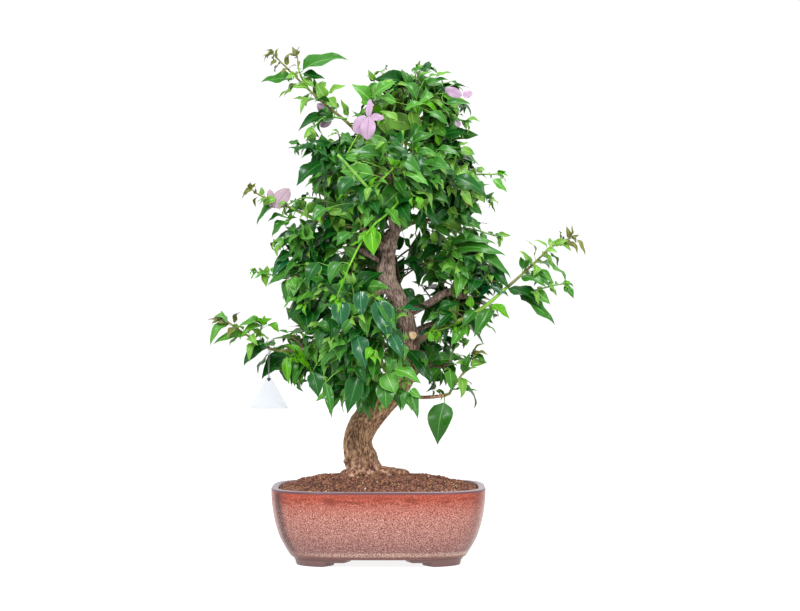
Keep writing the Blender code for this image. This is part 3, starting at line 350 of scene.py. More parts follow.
# Rings from the middle of the front to the middle of the back: share of the card's outline, depth
TAG_RINGS = ((0.02, -0.3), (0.985, -0.3), (1.0, -0.15), (1.0, 0.15), (0.985, 0.3), (0.02, 0.3))
EYELET_DROP, EYELET_RADIUS = 6.5, 2.1
# From the front of the eyelet over the shoot to the back of the eyelet, measured from the top of the card
THREAD = ((0, -0.9, -5.5), (-0.6, -2.2, 10), (-0.8, -2.9, 24), (-0.3, -2.0, 31.5), (0.3, 1.5, 31.8),
          (0.8, 2.6, 26), (0.6, 1.5, 10), (0, 0.9, -5.5))
THREAD_RADIUS = 0.35


# ================================================================ numbers and noise
def unit(rows):
    """Vectors at length one."""
    return rows / np.maximum(np.linalg.norm(rows, axis=-1, keepdims=True), 1e-9)


def noise(points, seed):
    """Smooth noise from -1 to 1: repeatable numbers at the corners of a lattice, blended by smoothstep."""
    cell = np.floor(points)
    part = points - cell
    part = part * part * (3 - 2 * part)
    total = np.zeros(points.shape[:-1])
    for corner in itertools.product((0, 1), repeat=3):
        value = np.sin((cell + corner) @ np.array((127.1, 311.7, 74.7)) + seed * 17.31) * 43758.5453
        weight = np.prod(np.where(np.array(corner), part, 1 - part), axis=-1)
        total += weight * (value - np.floor(value))
    return 2 * total - 1


def layered(points, seed):
    """Noise with two layers of finer noise added, each of half the height of the one before."""
    return sum(noise(points * 2 ** k, seed + k) / 2 ** k for k in range(3))


def round_angles(count):
    """Angles spaced evenly round a circle."""
    return np.linspace(0, 2 * math.pi, count, endpoint=False)


def smooth_path(points, step):
    """Points about a step apart on the Catmull-Rom curve through the given rows of numbers."""
    rows = np.array(points, float)
    ends = np.vstack((2 * rows[0] - rows[1], rows, 2 * rows[-1] - rows[-2]))
    made = []
    for a, b, c, d in zip(ends, ends[1:], ends[2:], ends[3:]):
        count = max(1, round(float(np.linalg.norm((c - b)[:3])) / step))
        t = (np.arange(count) / count)[:, None]
        made.append(0.5 * (2 * b + (c - a) * t + (2 * a - 5 * b + 4 * c - d) * t ** 2
                           + (3 * b - a - 3 * c + d) * t ** 3))
    return np.vstack((*made, rows[-1:]))


def length_along(path):
    """How far along a path each of its points lies."""
    return np.concatenate(([0.0], np.cumsum(np.linalg.norm(np.diff(path[:, :3], axis=0), axis=1))))


def at(path, marks, places):
    """Points of a path at some places, where each of its own points has a mark."""
    return np.stack([np.interp(places, marks, path[:, i]) for i in range(3)], -1)


def limb_rows(points, first_radius, last_radius, step=3.0):
    """Path of a tapering limb: x, y, z and radius in each row."""
    path = smooth_path(points, step)
    share = length_along(path) / length_along(path)[-1]
    return np.column_stack((path, first_radius + (last_radius - first_radius) * share))


# ================================================================ meshes
def grid_faces(rows, columns, closed=False):
    """Two triangles for each cell of a grid of points, joined up sideways where it is closed."""
    r, c = np.meshgrid(np.arange(rows - 1), np.arange(columns if closed else columns - 1), indexing="ij")
    here, beside = r * columns + c, r * columns + (c + 1) % columns
    low = np.stack((here, beside, beside + columns), -1).reshape(-1, 3)
    high = np.stack((here, beside + columns, here + columns), -1).reshape(-1, 3)
    return np.vstack((low, high))


def tube(points, rows, columns):
    """A tube of rows by columns of points, closed at both ends with a fan to the middle."""
    points = points.reshape(-1, 3)
    first, last = points[:columns].mean(0), points[-columns:].mean(0)
    ring, count = np.arange(columns), len(points)
    beside, end = (ring + 1) % columns, (rows - 1) * columns
    low = np.stack((np.full(columns, count), beside, ring), -1)
    high = np.stack((np.full(columns, count + 1), ring + end, beside + end), -1)
    return np.vstack((points, first, last)), np.vstack((grid_faces(rows, columns, True), low, high))


def repeated(faces, copies, count):
    """The same faces for each of many copies that have count points each."""
    return (faces[None] + (np.arange(copies) * count)[:, None, None]).reshape(-1, 3)


def joined(parts):
    """Several (points, faces) pairs, or (points, faces, shade) triples, as one."""
    starts = np.cumsum([0] + [len(part[0]) for part in parts[:-1]])
    faces = np.vstack([part[1] + start for part, start in zip(parts, starts)])
    rest = [np.concatenate([part[i] for part in parts]) for i in range(2, len(parts[0]))]
    return [np.vstack([part[0] for part in parts]), faces, *rest]


def piece(name, points, faces, look, slot=None, stands_for=(), maps=None, shade=None, sharp=0, stage=False):
    """A mesh object that rides with the plant. For each point, maps holds a place on the unit square and
    shade a number for the material. Edges that turn by more than the sharp angle in degrees stay hard."""
    mesh = bpy.data.meshes.new(name)
    mesh.vertices.add(len(points))
    mesh.vertices.foreach_set("co", (np.asarray(points, float) * MM).ravel())
    mesh.loops.add(faces.size)
    mesh.loops.foreach_set("vertex_index", faces.ravel().astype(np.int32))
    mesh.polygons.add(len(faces))
    mesh.polygons.foreach_set("loop_start", np.arange(0, faces.size, faces.shape[1], dtype=np.int32))
    mesh.update(calc_edges=True)
    mesh.validate()
    if maps is not None:
        for title in ("OFBake", "blade"):
            layer = mesh.uv_layers.new(name=title)
            layer.data.foreach_set("uv", maps[faces.ravel()].ravel())
    if shade is not None:
        layer = mesh.attributes.new("shade", "FLOAT", "POINT")
        layer.data.foreach_set("value", shade.astype(np.float32))
    mesh.shade_smooth()
    if sharp:
        mesh.set_sharp_from_angle(angle=math.radians(sharp))
    mesh.materials.append(look)
    made = bpy.data.objects.new(name, mesh)
    bpy.context.scene.collection.objects.link(made)
    if stage:
        return made
    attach(made, "root")
    if stands_for:
        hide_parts(*stands_for)
    return made


# ================================================================ materials
def linear(colour):
    """An sRGB hex colour as linear red, green, blue and alpha."""
    parts = [int(colour.lstrip("#")[i:i + 2], 16) / 255 for i in (0, 2, 4)]
    return (*(p / 12.92 if p <= 0.04045 else ((p + 0.055) / 1.055) ** 2.4 for p in parts), 1.0)


class Look:
    """A Principled material. Most methods add one shader node and return what comes out of it. What goes in
    is a number, a vector, a colour or another node's output."""

    def __init__(self, name, roughness, ior=1.45, colour="#808080", **sockets):
        """Further sockets are named with _ for a space."""
        self.material = bpy.data.materials.new(name)
        self.material.use_nodes = True
        self.tree = self.material.node_tree
        self.shader = self.tree.nodes["Principled BSDF"]
        sockets |= {"Base_Color": linear(colour), "Roughness": roughness, "IOR": ior}
        for key, value in sockets.items():
            self.shader.inputs[key.replace("_", " ")].default_value = value

    def node(self, kind, inputs=(), **settings):
        """Adds a node: settings are its properties, inputs pair a socket with what goes into it."""
        made = self.tree.nodes.new("ShaderNode" + kind)
        for key, value in settings.items():
            setattr(made, key, value)
        for key, value in inputs:
            if isinstance(value, bpy.types.NodeSocket):
                self.tree.links.new(value, made.inputs[key])
            else:
                made.inputs[key].default_value = value
        return made

    def place(self):
        """Where a point of the surface lies, in metres."""
        return self.node("TexCoord").outputs["Object"]

    def split(self, vector):
        """A vector's three numbers."""
        return self.node("SeparateXYZ", [(0, vector)]).outputs

    def grain(self, place, scale, detail, stretch=1.0):
        """Noise with cells of 1/scale metres, drawn out in height where the stretch is under 1."""
        if stretch != 1.0:
            place = self.node("Mapping", [(0, place), ("Scale", (1, 1, stretch))]).outputs[0]
        return self.node("TexNoise", [("Vector", place), ("Scale", scale), ("Detail", detail)]).outputs[0]

    def maths(self, operation, *values):
        """What a Math node makes of some values."""
        return self.node("Math", enumerate(values), operation=operation).outputs[0]

    def times(self, first, second):
        """Two values multiplied."""
        return self.maths("MULTIPLY", first, second)

    def ramp(self, value, low, high, start=0.0, end=1.0):
        """A value that runs from start to end while the input runs from low to high."""
        return self.node("MapRange", enumerate((value, low, high, start, end))).outputs[0]

    def band(self, value, low, full, ebb, high):
        """A value that rises from 0 to 1 between low and full, and falls to 0 again between ebb and high."""
        return self.times(self.ramp(value, low, full), self.ramp(value, ebb, high, 1.0, 0.0))

    def colours(self, value, *stops):
        """A run of colours, each at its value."""
        made = self.node("ValToRGB", [(0, value)])
        while len(made.color_ramp.elements) < len(stops):
            made.color_ramp.elements.new(0.5)
        for element, (place, colour) in zip(made.color_ramp.elements, stops):
            element.position, element.color = place, linear(colour)
        return made.outputs[0]

    def over(self, colour, amount, tone):
        """Lays a tone, a hex colour or an output, over a colour by an amount."""
        tone = linear(tone) if isinstance(tone, str) else tone
        return self.node("Mix", [(0, amount), (6, colour), (7, tone)], data_type="RGBA").outputs[2]

    def finished(self, colour, height, strength, depth, invert=False):
        """The material with its colour, and with a fine relief of some depth in metres."""
        relief = [("Height", height), ("Strength", strength), ("Distance", depth)]
        self.tree.links.new(colour, self.shader.inputs["Base Color"])
        self.tree.links.new(self.node("Bump", relief, invert=invert).outputs[0], self.shader.inputs["Normal"])
        return self.material


def glazed_stoneware():
    """Stoneware under a reduction-fired glaze: glossy and salmon red, with fine brown and cream specks. It is
    redder with brown pools under the lip, and brown on the lip; the lip's flat top is painted pale grey, a
    painted highlight. The short sides are painted darker and mauve: painted shade, with the mauve of the
    reflection they show. A dark line runs down each corner, most strongly on the left, and a line of cream
    beads runs over the feet."""
    look = Look("glazed_stoneware", 0.3, 1.52, Specular_IOR_Level=0.15)
    place = look.place()
    x, y, height = look.split(place)
    away = look.maths("ADD", x, -POT_X * MM)
    runs = look.maths("ADD", look.grain(place, 150.0, 3.0, 0.3), -0.5)
    level = look.maths("MULTIPLY_ADD", runs, 0.012, height)
    colour = look.colours(
        look.ramp(level, 0.0, 0.090), (0.0, "#6c5250"), (0.10, "#745a56"), (0.115, "#734a44"),
        (0.20, "#805a56"), (0.35, "#8f635b"), (0.60, "#9d695d"), (0.80, "#a15a4b"), (0.88, "#9f4936"),
        (1.0, "#9b3e2c"))
    body = look.band(height, 0.012, 0.02, 0.0855, 0.086)
    across = [look.maths("ABSOLUTE", look.times(value, 1 / half)) for value, half in zip((away, y), POT_HALF)]
    turn = look.maths("ARCTAN2", across[1], across[0])
    # Short sides painted darker and mauve: painted shade, with the mauve of the reflection they show.
    short_side_shade = look.ramp(turn, 0.62, 0.28, 0.0, 0.5)
    corners = look.times(look.band(turn, 0.54, 0.60, 0.66, 0.74), look.ramp(away, 0.09, -0.09, 0.35, 1.0))
    grain = look.grain(place, 900.0, 1.0)
    specks = look.ramp(grain, 0.38, 0.485, 0.8, 0.0)
    flecks = look.times(look.ramp(grain, 0.53, 0.65, 0.0, 0.45), look.ramp(height, 0.060, 0.078, 1.0, 0.3))
    for amount, tone in ((short_side_shade, "#54353a"), (corners, "#3a110d"), (specks, "#5c2c26"),
                         (flecks, "#dcb2a8")):
        colour = look.over(colour, look.times(amount, body), tone)
    drawn = look.node("Mapping", [(0, place), ("Scale", (0.5, 0.5, 2.0))]).outputs[0]
    pools = look.ramp(look.grain(drawn, 170.0, 4.0), 0.54, 0.38, 0.0, 0.7)
    pools = look.times(look.band(height, 0.069, 0.077, 0.080, 0.086), pools)
    beads = look.times(look.ramp(grain, 0.42, 0.58, 0.0, 0.6), look.ramp(away, -0.12, -0.05))
    beads = look.times(look.band(height, 0.0115, 0.0135, 0.0160, 0.0185), beads)
    # The lip's flat top is painted pale grey: a painted highlight from above.
    lip, lip_top_highlight = look.ramp(height, 0.0858, 0.0863), look.ramp(height, 0.0882, 0.0888)
    for amount, tone in ((pools, "#642a20"), (beads, "#dcc3b0"), (lip, "#5d3f42"), (lip_top_highlight, "#85757a")):
        colour = look.over(colour, amount, tone)
    return look.finished(colour, grain, 0.06, 0.0006)


def bark():
    """Bark of an old woody vine: fissured and flaky, dark with painted shade in the cracks and tan on the
    ridges, greyer above and with reddish flakes at the foot, over which pits are painted as dark spots of
    painted shade."""
    look = Look("fissured_bark", 0.86)
    place = look.place()
    height = look.split(place)[2]
    grain = look.grain(place, 650.0, 3.0, 0.3)
    # The mesh's shade is low in cracks, the sunk scar and the groove, and high on ridges, the collar and
    # raised flakes: the tones it gives are painted shade and light following the relief.
    depth = look.node("Attribute", attribute_name="shade").outputs["Fac"]
    fibres = look.ramp(look.grain(place, 800.0, 2.0, 0.14), 0.36, 0.52, -0.62, -0.20)
    tone = look.maths("ADD", look.maths("MULTIPLY_ADD", grain, 0.5, depth), fibres)
    low, high = (look.colours(tone, *zip((0.0, 0.3, 0.55, 0.78, 1.0), hues)) for hues in (
        ("#251811", "#5d4330", "#8d6b4e", "#b3906d", "#dcc2a2"),
        ("#2e2320", "#5c4a41", "#836d60", "#a18c7d", "#bfae9f")))
    colour = look.over(low, look.ramp(height, 0.20, 0.28), high)
    foot = look.ramp(height, 0.135, 0.108, 0.0, 0.45)
    knobs = look.grain(place, 210.0, 2.0)
    # Dark pits at the foot: painted shade of pits that the mesh doesn't have.
    pit_shade, flakes = look.ramp(knobs, 0.36, 0.46, 1.9, 0.0), look.ramp(knobs, 0.55, 0.62, 0.0, 1.5)
    for amount, hue in ((1.0, "#7c4533"), (pit_shade, "#2b140e"), (flakes, "#d2b09a")):
        colour = look.over(colour, look.times(foot, amount), hue)
    return look.finished(colour, grain, 0.5, 0.0008)


def greening_stem():
    """First-year bougainvillea wood: smooth, brown where it leaves the trunk and green further out."""
    look = Look("greening_stem", 0.55)
    place = look.place()
    away = look.maths("ABSOLUTE", look.split(place)[0])
    grain = look.grain(place, 220.0, 3.0)
    share = look.ramp(look.maths("MULTIPLY_ADD", grain, 0.03, away), 0.02, 0.16)
    colour = look.colours(
        share, (0.0, "#6b5548"), (0.25, "#75684a"), (0.45, "#6d7a35"), (0.7, "#6f9a2a"), (1.0, "#79ab2c"))
    return look.finished(colour, grain, 0.2, 0.0004)


def leaf(name, colour, vein, roughness, coat):
    """A bougainvillea leaf: a waxy green blade with a paler midrib and side veins, and a painted highlight
    along the margin.
    """
    look = Look(name, roughness, Coat_Weight=coat, Coat_Roughness=0.25, Specular_IOR_Level=0.32)
    u, v, _ = look.split(look.node("UVMap", uv_map="blade").outputs[0])
    across = look.maths("ABSOLUTE", look.maths("ADD", u, -0.5))
    midrib = look.ramp(across, 0.01, 0.035, 0.85, 0.0)
    between = look.maths("PINGPONG", look.maths("MULTIPLY_ADD", across, -0.5, v), 0.072)
    side_veins = look.ramp(between, 0.0, 0.01, 0.22, 0.0)
    # A pale line along the margin: a painted highlight on the leaf's edge.
    margin = look.ramp(across, 0.45, 0.5, 0.0, 0.75)
    mask = look.maths("MAXIMUM", look.maths("MAXIMUM", midrib, side_veins), margin)
    return look.finished(look.over(linear(colour), mask, vein), mask, 0.25, 0.0005, invert=True)


def speckled(name, roughness, first, second, scale):
    """A matt surface of two colours, mixed by noise with cells of 1/scale metres."""
    look = Look(name, roughness)
    grain = look.grain(look.place(), scale, 3.0)
    return look.finished(look.colours(grain, (0.35, first), (0.65, second)), grain, 0.3, 0.0004)


# ================================================================ pot
def pot_ring(half_x, half_y, height, count=240):
    """Outline |x/a|^n + |y/b|^n = 1 about the pot's middle, at one height or one for each point."""
    angle, power = round_angles(count), 2.0 / POT_SQUARENESS
    c, s = np.cos(angle), np.sin(angle)
    return np.column_stack((POT_X + half_x * np.sign(c) * np.abs(c) ** power,
                            half_y * np.sign(s) * np.abs(s) ** power, np.zeros(count) + height))


def share_out(x, y):
    """How far out a point lies: 0 in the middle of the pot's outline of half sizes 1, and 1 on it."""
    return (np.abs(x) ** POT_SQUARENESS + np.abs(y) ** POT_SQUARENESS) ** (1 / POT_SQUARENESS)


def make_pot(look):
    """The pot's profile carried round its outline, closed below and inside, with two drains cut through."""
    half = np.array(POT_HALF)
    levels = [pot_ring(*(half - BODY_INSET) * share, BODY_FOOT) for share in FLOOR_SHARES]
    levels += [pot_ring(*(half - inset), height) for height, inset in smooth_path(POT_PROFILE, 1.6)]
    levels += [pot_ring(*(half - FLOOR_INSET) * share, FLOOR_TOP) for share in FLOOR_SHARES[::-1]]
    points, faces = tube(np.vstack(levels), len(levels), len(levels[0]))
    pot = piece("pot_body", points, faces, look, "pot", ["pot"], sharp=50)
    angle = round_angles(48)
    tools = []
    for side in (-1, 1):
        ring = np.column_stack((POT_X + side * DRAIN_REACH + DRAIN_RADIUS * np.cos(angle),
                                DRAIN_RADIUS * np.sin(angle), 0 * angle))
        tools.append(tube(np.vstack((ring, ring + (0, 0, DRAIN_CUT))), 2, len(angle)))
    cutter = piece("drains", *joined(tools), look, stage=True)
    cut = pot.modifiers.new("drains", "BOOLEAN")
    cut.object, cut.solver = cutter, "EXACT"
    bpy.context.view_layer.update()
    seen = pot.evaluated_get(bpy.context.evaluated_depsgraph_get())
    mesh = bpy.data.meshes.new_from_object(seen)
    pot.modifiers.clear()
    pot.data = mesh
    bpy.data.objects.remove(cutter)


def make_feet(look):
    """A band under the body whose lower edge rises in two soft steps between the corners."""
    count, (upper, lower), inner = 480, FOOT_INSET, UNDERSIDE_INSET
    outer = pot_ring(*(np.array(POT_HALF) - upper), 0.0, count)
    x, y = np.abs(outer[:, 0] - POT_X), np.abs(outer[:, 1])
    on_long_side = y / (POT_HALF[1] - upper) > x / (POT_HALF[0] - upper)
    reach = np.where(on_long_side, x, y * 1.5)
    edge = np.zeros(count)
    for start, top in FOOT_STEPS:
        t = np.clip((start + FOOT_SLOPE - reach) / FOOT_SLOPE, 0, 1)
        edge = edge + (top - edge) * t * t * (3 - 2 * t)
    bands = [pot_ring(*(np.array(POT_HALF) - inset), height, count) for inset, height in (
        (upper, 11.0), (upper + 0.6, BODY_FOOT - 0.3), (lower - 0.8, edge + 0.9), (lower, edge),
        (inner - 1.0, edge), (inner, edge + 0.8), (inner, 11.0))]
    points = np.vstack(bands)
    faces = grid_faces(len(bands) + 1, count, True) % len(points)
    piece("pot_feet", points, faces[:, ::-1], look, "pot", ["pot"], sharp=40)


# ================================================================ soil
def soil_height(x, y):
    """Height of the soil: level in an ellipse round the trunk, then falling in a dome to the pot's wall.
    Between them lie low lumps, a sine along each way."""
    (seat_x, seat_y), (seat_a, seat_b) = SOIL_SEAT
    out = np.maximum(np.hypot((x - seat_x) / seat_a, (y - seat_y) / seat_b) - 1, 0)
    edge = share_out((x - POT_X) / SOIL_HALF[0], y / SOIL_HALF[1])
    share = out / np.maximum(out + 1.6 * np.maximum(1 - edge, 0), 1e-6)
    lumps = np.sin(2 * math.pi * x / LUMP_SPACING[0]) * np.sin(2 * math.pi * y / LUMP_SPACING[1] + 1.0)
    return (SOIL_EDGE + (SOIL_TOP - SOIL_EDGE) * (1 - share ** 1.6)
            + LUMP_HEIGHT * 4.0 * share * (1.0 - share) * lumps)


def rotations(angles, axis):
    """A matrix for each angle that turns by it about one axis."""
    made = np.repeat(np.eye(3)[None], len(angles), 0)
    a, b = (axis + 1) % 3, (axis + 2) % 3
    made[:, a, a] = made[:, b, b] = np.cos(angles)
    made[:, a, b], made[:, b, a] = -np.sin(angles), np.sin(angles)
    return made


def make_soil(look, granule_looks):
    """The soil's rough surface, and granules strewn over it as eight-cornered lumps."""
    rings = []
    for share in np.linspace(0.02, 1, SOIL_RINGS):
        ring = pot_ring(*SOIL_HALF * share, 0.0, SOIL_SIDES)
        ring[:, 2] = soil_height(ring[:, 0], ring[:, 1]) + 0.4 * noise(ring * 0.35, 3) - 1.3
        rings.append(ring)
    rings.append(pot_ring(*SOIL_HALF, 60.0, SOIL_SIDES))
    piece("soil_bed", *tube(np.vstack(rings[::-1]), len(rings), SOIL_SIDES), look, "soil", ["soil"])
    rng = np.random.RandomState(SEED)
    spread = rng.uniform(-1, 1, (GRANULES * 2, 2))
    spread = spread[share_out(*spread.T) < 0.992][:GRANULES] * (SOIL_HALF - 1.0)
    x, y = spread[:, 0] + POT_X, spread[:, 1]
    size = GRANULE_SIZE[0] + GRANULE_SIZE[1] * rng.beta(1.6, 3.0, len(x))
    z = soil_height(x, y) - 0.75 * size + rng.uniform(-0.35, 0.25, len(x))
    corners = np.array(list(itertools.product((-1, 1), repeat=3)), float)
    lumps = corners[None] * rng.uniform(0.45, 1.0, (len(x), 8, 1)) * rng.uniform(0.6, 1.1, (len(x), 1, 3))
    turn, tilt = rng.uniform(0, 2 * math.pi, (2, len(x)))
    lumps = np.einsum("nij,njk,nck->nci", rotations(turn, 2), rotations(tilt, 0), lumps) * size[:, None, None]
    lumps += np.column_stack((x, y, z))[:, None]
    cube = np.array(((0, 1, 3), (0, 3, 2), (4, 6, 7), (4, 7, 5), (0, 4, 5), (0, 5, 1),
                     (2, 3, 7), (2, 7, 6), (0, 2, 6), (0, 6, 4), (1, 5, 7), (1, 7, 3)))
    kind = rng.choice(len(granule_looks), len(x), p=GRANULE_SHARES)
    for number, granule_look in enumerate(granule_looks):
        chosen = lumps[kind == number]
        points, faces = chosen.reshape(-1, 3), repeated(cube, len(chosen), 8)
        piece(f"soil_granules_{number + 1}", points, faces, granule_look, "soil", ["soil"], sharp=30)


# ================================================================ trunk and boughs
def frames(path):
    """For each point of a path its direction and two vectors square to it, turned as little as possible."""
    along = unit(np.gradient(path[:, :3], axis=0))
    side = unit(np.cross(along[0], (0.1, 0.995, 0.05)))
    sides = []
    for way in along:
        side = unit(side - way * (side @ way))
        sides.append(side)
    sides = np.array(sides)
    return along, sides, np.cross(along, sides)


def bark_tube(rows, around, crack, lump, seed, foot=False):
    """A circle carried along the rows, with its radius raised and cut by noise that runs along the limb.
    Fissures lie where a long-celled noise crosses zero. The third result is 0 in a crack and 1 on a ridge."""
    _, side, other = frames(rows)
    along = length_along(rows)[:, None]
    angle = round_angles(around)[None, :]
    radius = rows[:, 3:4] + 0 * angle
    c, s = np.cos(angle) * radius, np.sin(angle) * radius

    def cells(across, lengthwise, drift=0.0):
        """Places for a noise whose cells are so wide across the limb and so long along it."""
        return np.stack(((c + drift) / across, (s + drift) / across, along / lengthwise + 0 * c), -1)

    fissure = np.abs(noise(cells(2.3, 20, 3.0 * noise(cells(14, 30), seed + 5)), seed))
    fissure = np.minimum(fissure, 1.5 * np.abs(noise(cells(2.2, 9), seed + 1)))
    ridge = np.clip(fissure / 0.14, 0, 1) ** 0.7
    plates = layered(cells(8, 11), seed + 2)
    lumps = noise(cells(18, 26), seed + 3)
    grain = noise(cells(1.3, 3.5), seed + 4)
    out = radius + lump * lumps + 0.45 * lump * plates + crack * (ridge - 0.6) + 0.2 * crack * grain
    # The shade is painted shade and light that follow the relief: low in the cracks, higher on the ridges,
    # raised plates and grain.
    shade = 0.22 + 0.42 * ridge + 0.08 * plates + 0.18 * grain
    points = (rows[:, None, :3] + side[:, None] * (np.cos(angle) * out)[..., None]
              + other[:, None] * (np.sin(angle) * out)[..., None])
    if foot:
        points, shade = spread_foot(points, shade)
    shade = np.clip(shade.ravel(), 0, 1)
    ends = shade[:around].mean(keepdims=True), shade[-around:].mean(keepdims=True)
    return *tube(points, len(rows), around), np.concatenate((shade, *ends))


def spread_foot(points, shade):
    """Spreads the trunk's foot into five lobes and flaky knobs, and sinks a lost limb's scar higher up."""
    height = points[..., 2]
    away = (points - TRUNK[0][:3]) * (1, 1, 0)
    turn = np.arctan2(away[..., 1], away[..., 0])[..., None]
    share = np.clip(1 - (height - SOIL_TOP) / 17, 0, 1.2)[..., None]
    knobs = np.clip(1 - (height - SOIL_TOP) / 42, 0, 1)[..., None]
    flakes = layered(points / 6.5, 31)[..., None]
    lobes = 6.5 * share ** 2 * (0.6 + 0.4 * np.cos(5 * turn + 0.8))
    points = points + unit(away) * (lobes + 3.0 * knobs * flakes)
    # Raised flakes are painted lighter: painted light on the relief.
    shade = shade + (0.35 * knobs * flakes)[..., 0]
    height = points[..., 2]
    scar = np.exp(-np.sum(((points - SCAR_PLACE) / SCAR_SIZE) ** 2, axis=-1))
    collar = np.exp(-((height - COLLAR_HEIGHT) / COLLAR_WIDTH) ** 2)
    groove = np.exp(-((height - GROOVE_HEIGHT) / GROOVE_WIDTH) ** 2)
    radial = unit((points - COLLAR_MIDDLE) * (1, 1, 0))
    points = points + radial * (1.3 * collar - 3.5 * scar)[..., None]
    # The sunk scar and the groove are painted darker and the collar lighter: painted shade and light on the
    # relief.
    return points, shade - 0.8 * scar + 0.15 * collar - 0.3 * groove


def make_limbs(look, green_look, cut_look):
    """The trunk with its roots and sawn stub, and each bough from inside the trunk to its tip."""
    def join(name, parts, bark_look, stands_for):
        points, faces, shade = joined(list(parts))
        piece(name, points, faces, bark_look, "bark", stands_for, shade=shade)

    rows_of = {"trunk": smooth_path(TRUNK, 1.5)}
    parts = [bark_tube(rows_of["trunk"], 112, crack=1.5, lump=1.0, seed=1, foot=True)]
    for number, (*points, first, last) in enumerate(ROOTS + (STUB,)):
        rows = limb_rows(points, first, last, 1.5)
        if number < len(ROOTS):
            left = length_along(rows)[-1] - length_along(rows)
            rows[:, 3] *= np.sqrt(1.02 - np.clip(1 - left / (1.5 * last), 0, 1) ** 2)
        parts.append(bark_tube(rows, 48, crack=1.0, lump=2.0, seed=40 + number))
    join("trunk_bark", parts, look, ["trunk"])
    parts, green_parts = {}, {}
    for number, (name, limb) in enumerate(LIMBS.items()):
        rows_of[name], rows = limb_rows(*limb), limb_rows(*limb, 1.6)
        if name in GREEN_LIMBS:
            green_parts[name] = bark_tube(rows, 22, crack=0.12, lump=0.2, seed=90)
        else:
            parts[name] = bark_tube(rows, 22, crack=0.35, lump=0.4, seed=60 + number)
    join("bough_bark", parts.values(), look, list(parts))
    join("green_boughs", [green_parts[name] for name in GREEN_LIMBS], green_look, list(GREEN_LIMBS))
    cuts = [disc(np.array(place), unit(np.array(way)), radius) for place, way, radius in SAWN_ENDS]
    piece("sawn_wood", *joined(cuts), cut_look, "bark")
    return rows_of


def disc(place, way, radius):
    """A shallow dome: rings of falling radius, risen by an eighth of it in the middle, closed behind."""
    side = unit(np.cross(way, (0.3, 0.2, 0.9)))
    angle = round_angles(28)[None, :, None]
    front = np.linspace(1.0, 0.05, 7)
    share = np.concatenate(([1.0, 1.0], front))[:, None, None]
    rise = np.concatenate(([-1.2, -0.1], (1 - front ** 2) / 8))[:, None, None]
    wobble = 1 + 0.08 * np.cos(3 * angle + 1)
    ring = side * np.cos(angle) + np.cross(way, side) * np.sin(angle)
    return tube(place + radius * (share * wobble * ring + way * rise), share.size, angle.size)


# ================================================================ the rule that foliage grows by
class Space:
    """The room one mass keeps to: an ellipsoid, cut by flat borders half-way to its neighbours."""

    def __init__(self, centre, radii):
        self.centre, self.radii = np.array(centre, float), np.array(radii, float)
        self.size2 = float(np.mean(self.radii)) ** 2
        self.borders = []

    def set_neighbours(self, spaces):
        """Borders are the planes where the power distances of two masses are equal."""
        for other in spaces:
            if other is not self:
                way = other.centre - self.centre
                squares = other.centre @ other.centre - self.centre @ self.centre
                level = (squares - other.size2 + self.size2) / 2
                self.borders.append((way / np.linalg.norm(way), level / np.linalg.norm(way)))

    def holds(self, points, slack=1.0, spill=0.0):
        """For each point, whether it lies in the ellipsoid and not beyond a border by more than the spill."""
        inside = np.sum(((points - self.centre) / self.radii) ** 2, axis=-1) <= slack ** 2
        for normal, level in self.borders:
            inside = inside & (points @ normal <= level + spill)
        return inside


def limb_distance(points, limbs):
    """Distance from each point to the nearest limb's surface, the limbs being rows of x, y, z and radius."""
    gaps = np.linalg.norm(points[..., None, :] - limbs[:, :3], axis=-1) - limbs[:, 3]
    return gaps.min(axis=-1)


def seen_from_front(points):
    """Where points appear on the plane y = 0 from the camera: x and z."""
    eye = np.array(CAMERA_PLACE) / MM
    share = -eye[1] / (points[..., 1] - eye[1])
    return eye[0] + (points[..., 0] - eye[0]) * share, eye[2] + (points[..., 2] - eye[2]) * share


def in_the_open(points, trunk, edges=True):
    """For each leaf's points, whether one lies in a patch of sky, before the bare trunk, below the crown or
    past its edge."""
    x, z = seen_from_front(points)
    sky_x, sky_z, half_x, half_z = SKY.T
    away = ((x[..., None] - sky_x) / half_x) ** 2 + ((z[..., None] - sky_z) / half_z) ** 2
    low, high, width = BARE_TRUNK
    middle = np.interp(z, trunk[:, 2], trunk[:, 0])
    bare = (z > low) & (z < high) & (np.abs(x - middle) < width) & (points[..., 1] < 6)
    hidden = np.any(away < 1, axis=-1) | bare | (z < CROWN_FOOT)
    if edges:
        height, left, right = CROWN_EDGE[::-1].T
        ragged = 9.0 * noise(np.stack((z / 11, x / 40, points[..., 1] / 25), -1), 7)
        hidden |= (x < np.interp(z, height, left) + ragged) | (x > np.interp(z, height, right) - ragged)
    return np.any(hidden, axis=-1)


def spread_directions(count, phase):
    """Directions spread evenly over a sphere: even steps in height, golden turns round it."""
    i = np.arange(count)
    height = 1.0 - (2.0 * i + 1.0) / count
    turn, ring = i * GOLDEN_TURN + phase, np.sqrt(1.0 - height ** 2)
    return np.column_stack((ring * np.cos(turn), ring * np.sin(turn), height))


def twig_target(space, direction):
    """The twig's end: as far towards the edge of the space as its borders allow."""
    for share in TWIG_SHARES:
        end = space.centre + space.radii * direction * share
        if space.holds(end):
            return end
    return None


def arched(start, end, rng, rows=9):
    """A twig from start to end on a parabola that rises a little in the middle and strays to a side."""
    length = np.linalg.norm(end - start)
    middle = (start + end) / 2 + UP * 0.16 * length + rng.normal(0, 0.07, 3) * length
    t = np.linspace(0, 1, rows)[:, None]
    return start * (1 - t) ** 2 + 2 * middle * t * (1 - t) + end * t ** 2


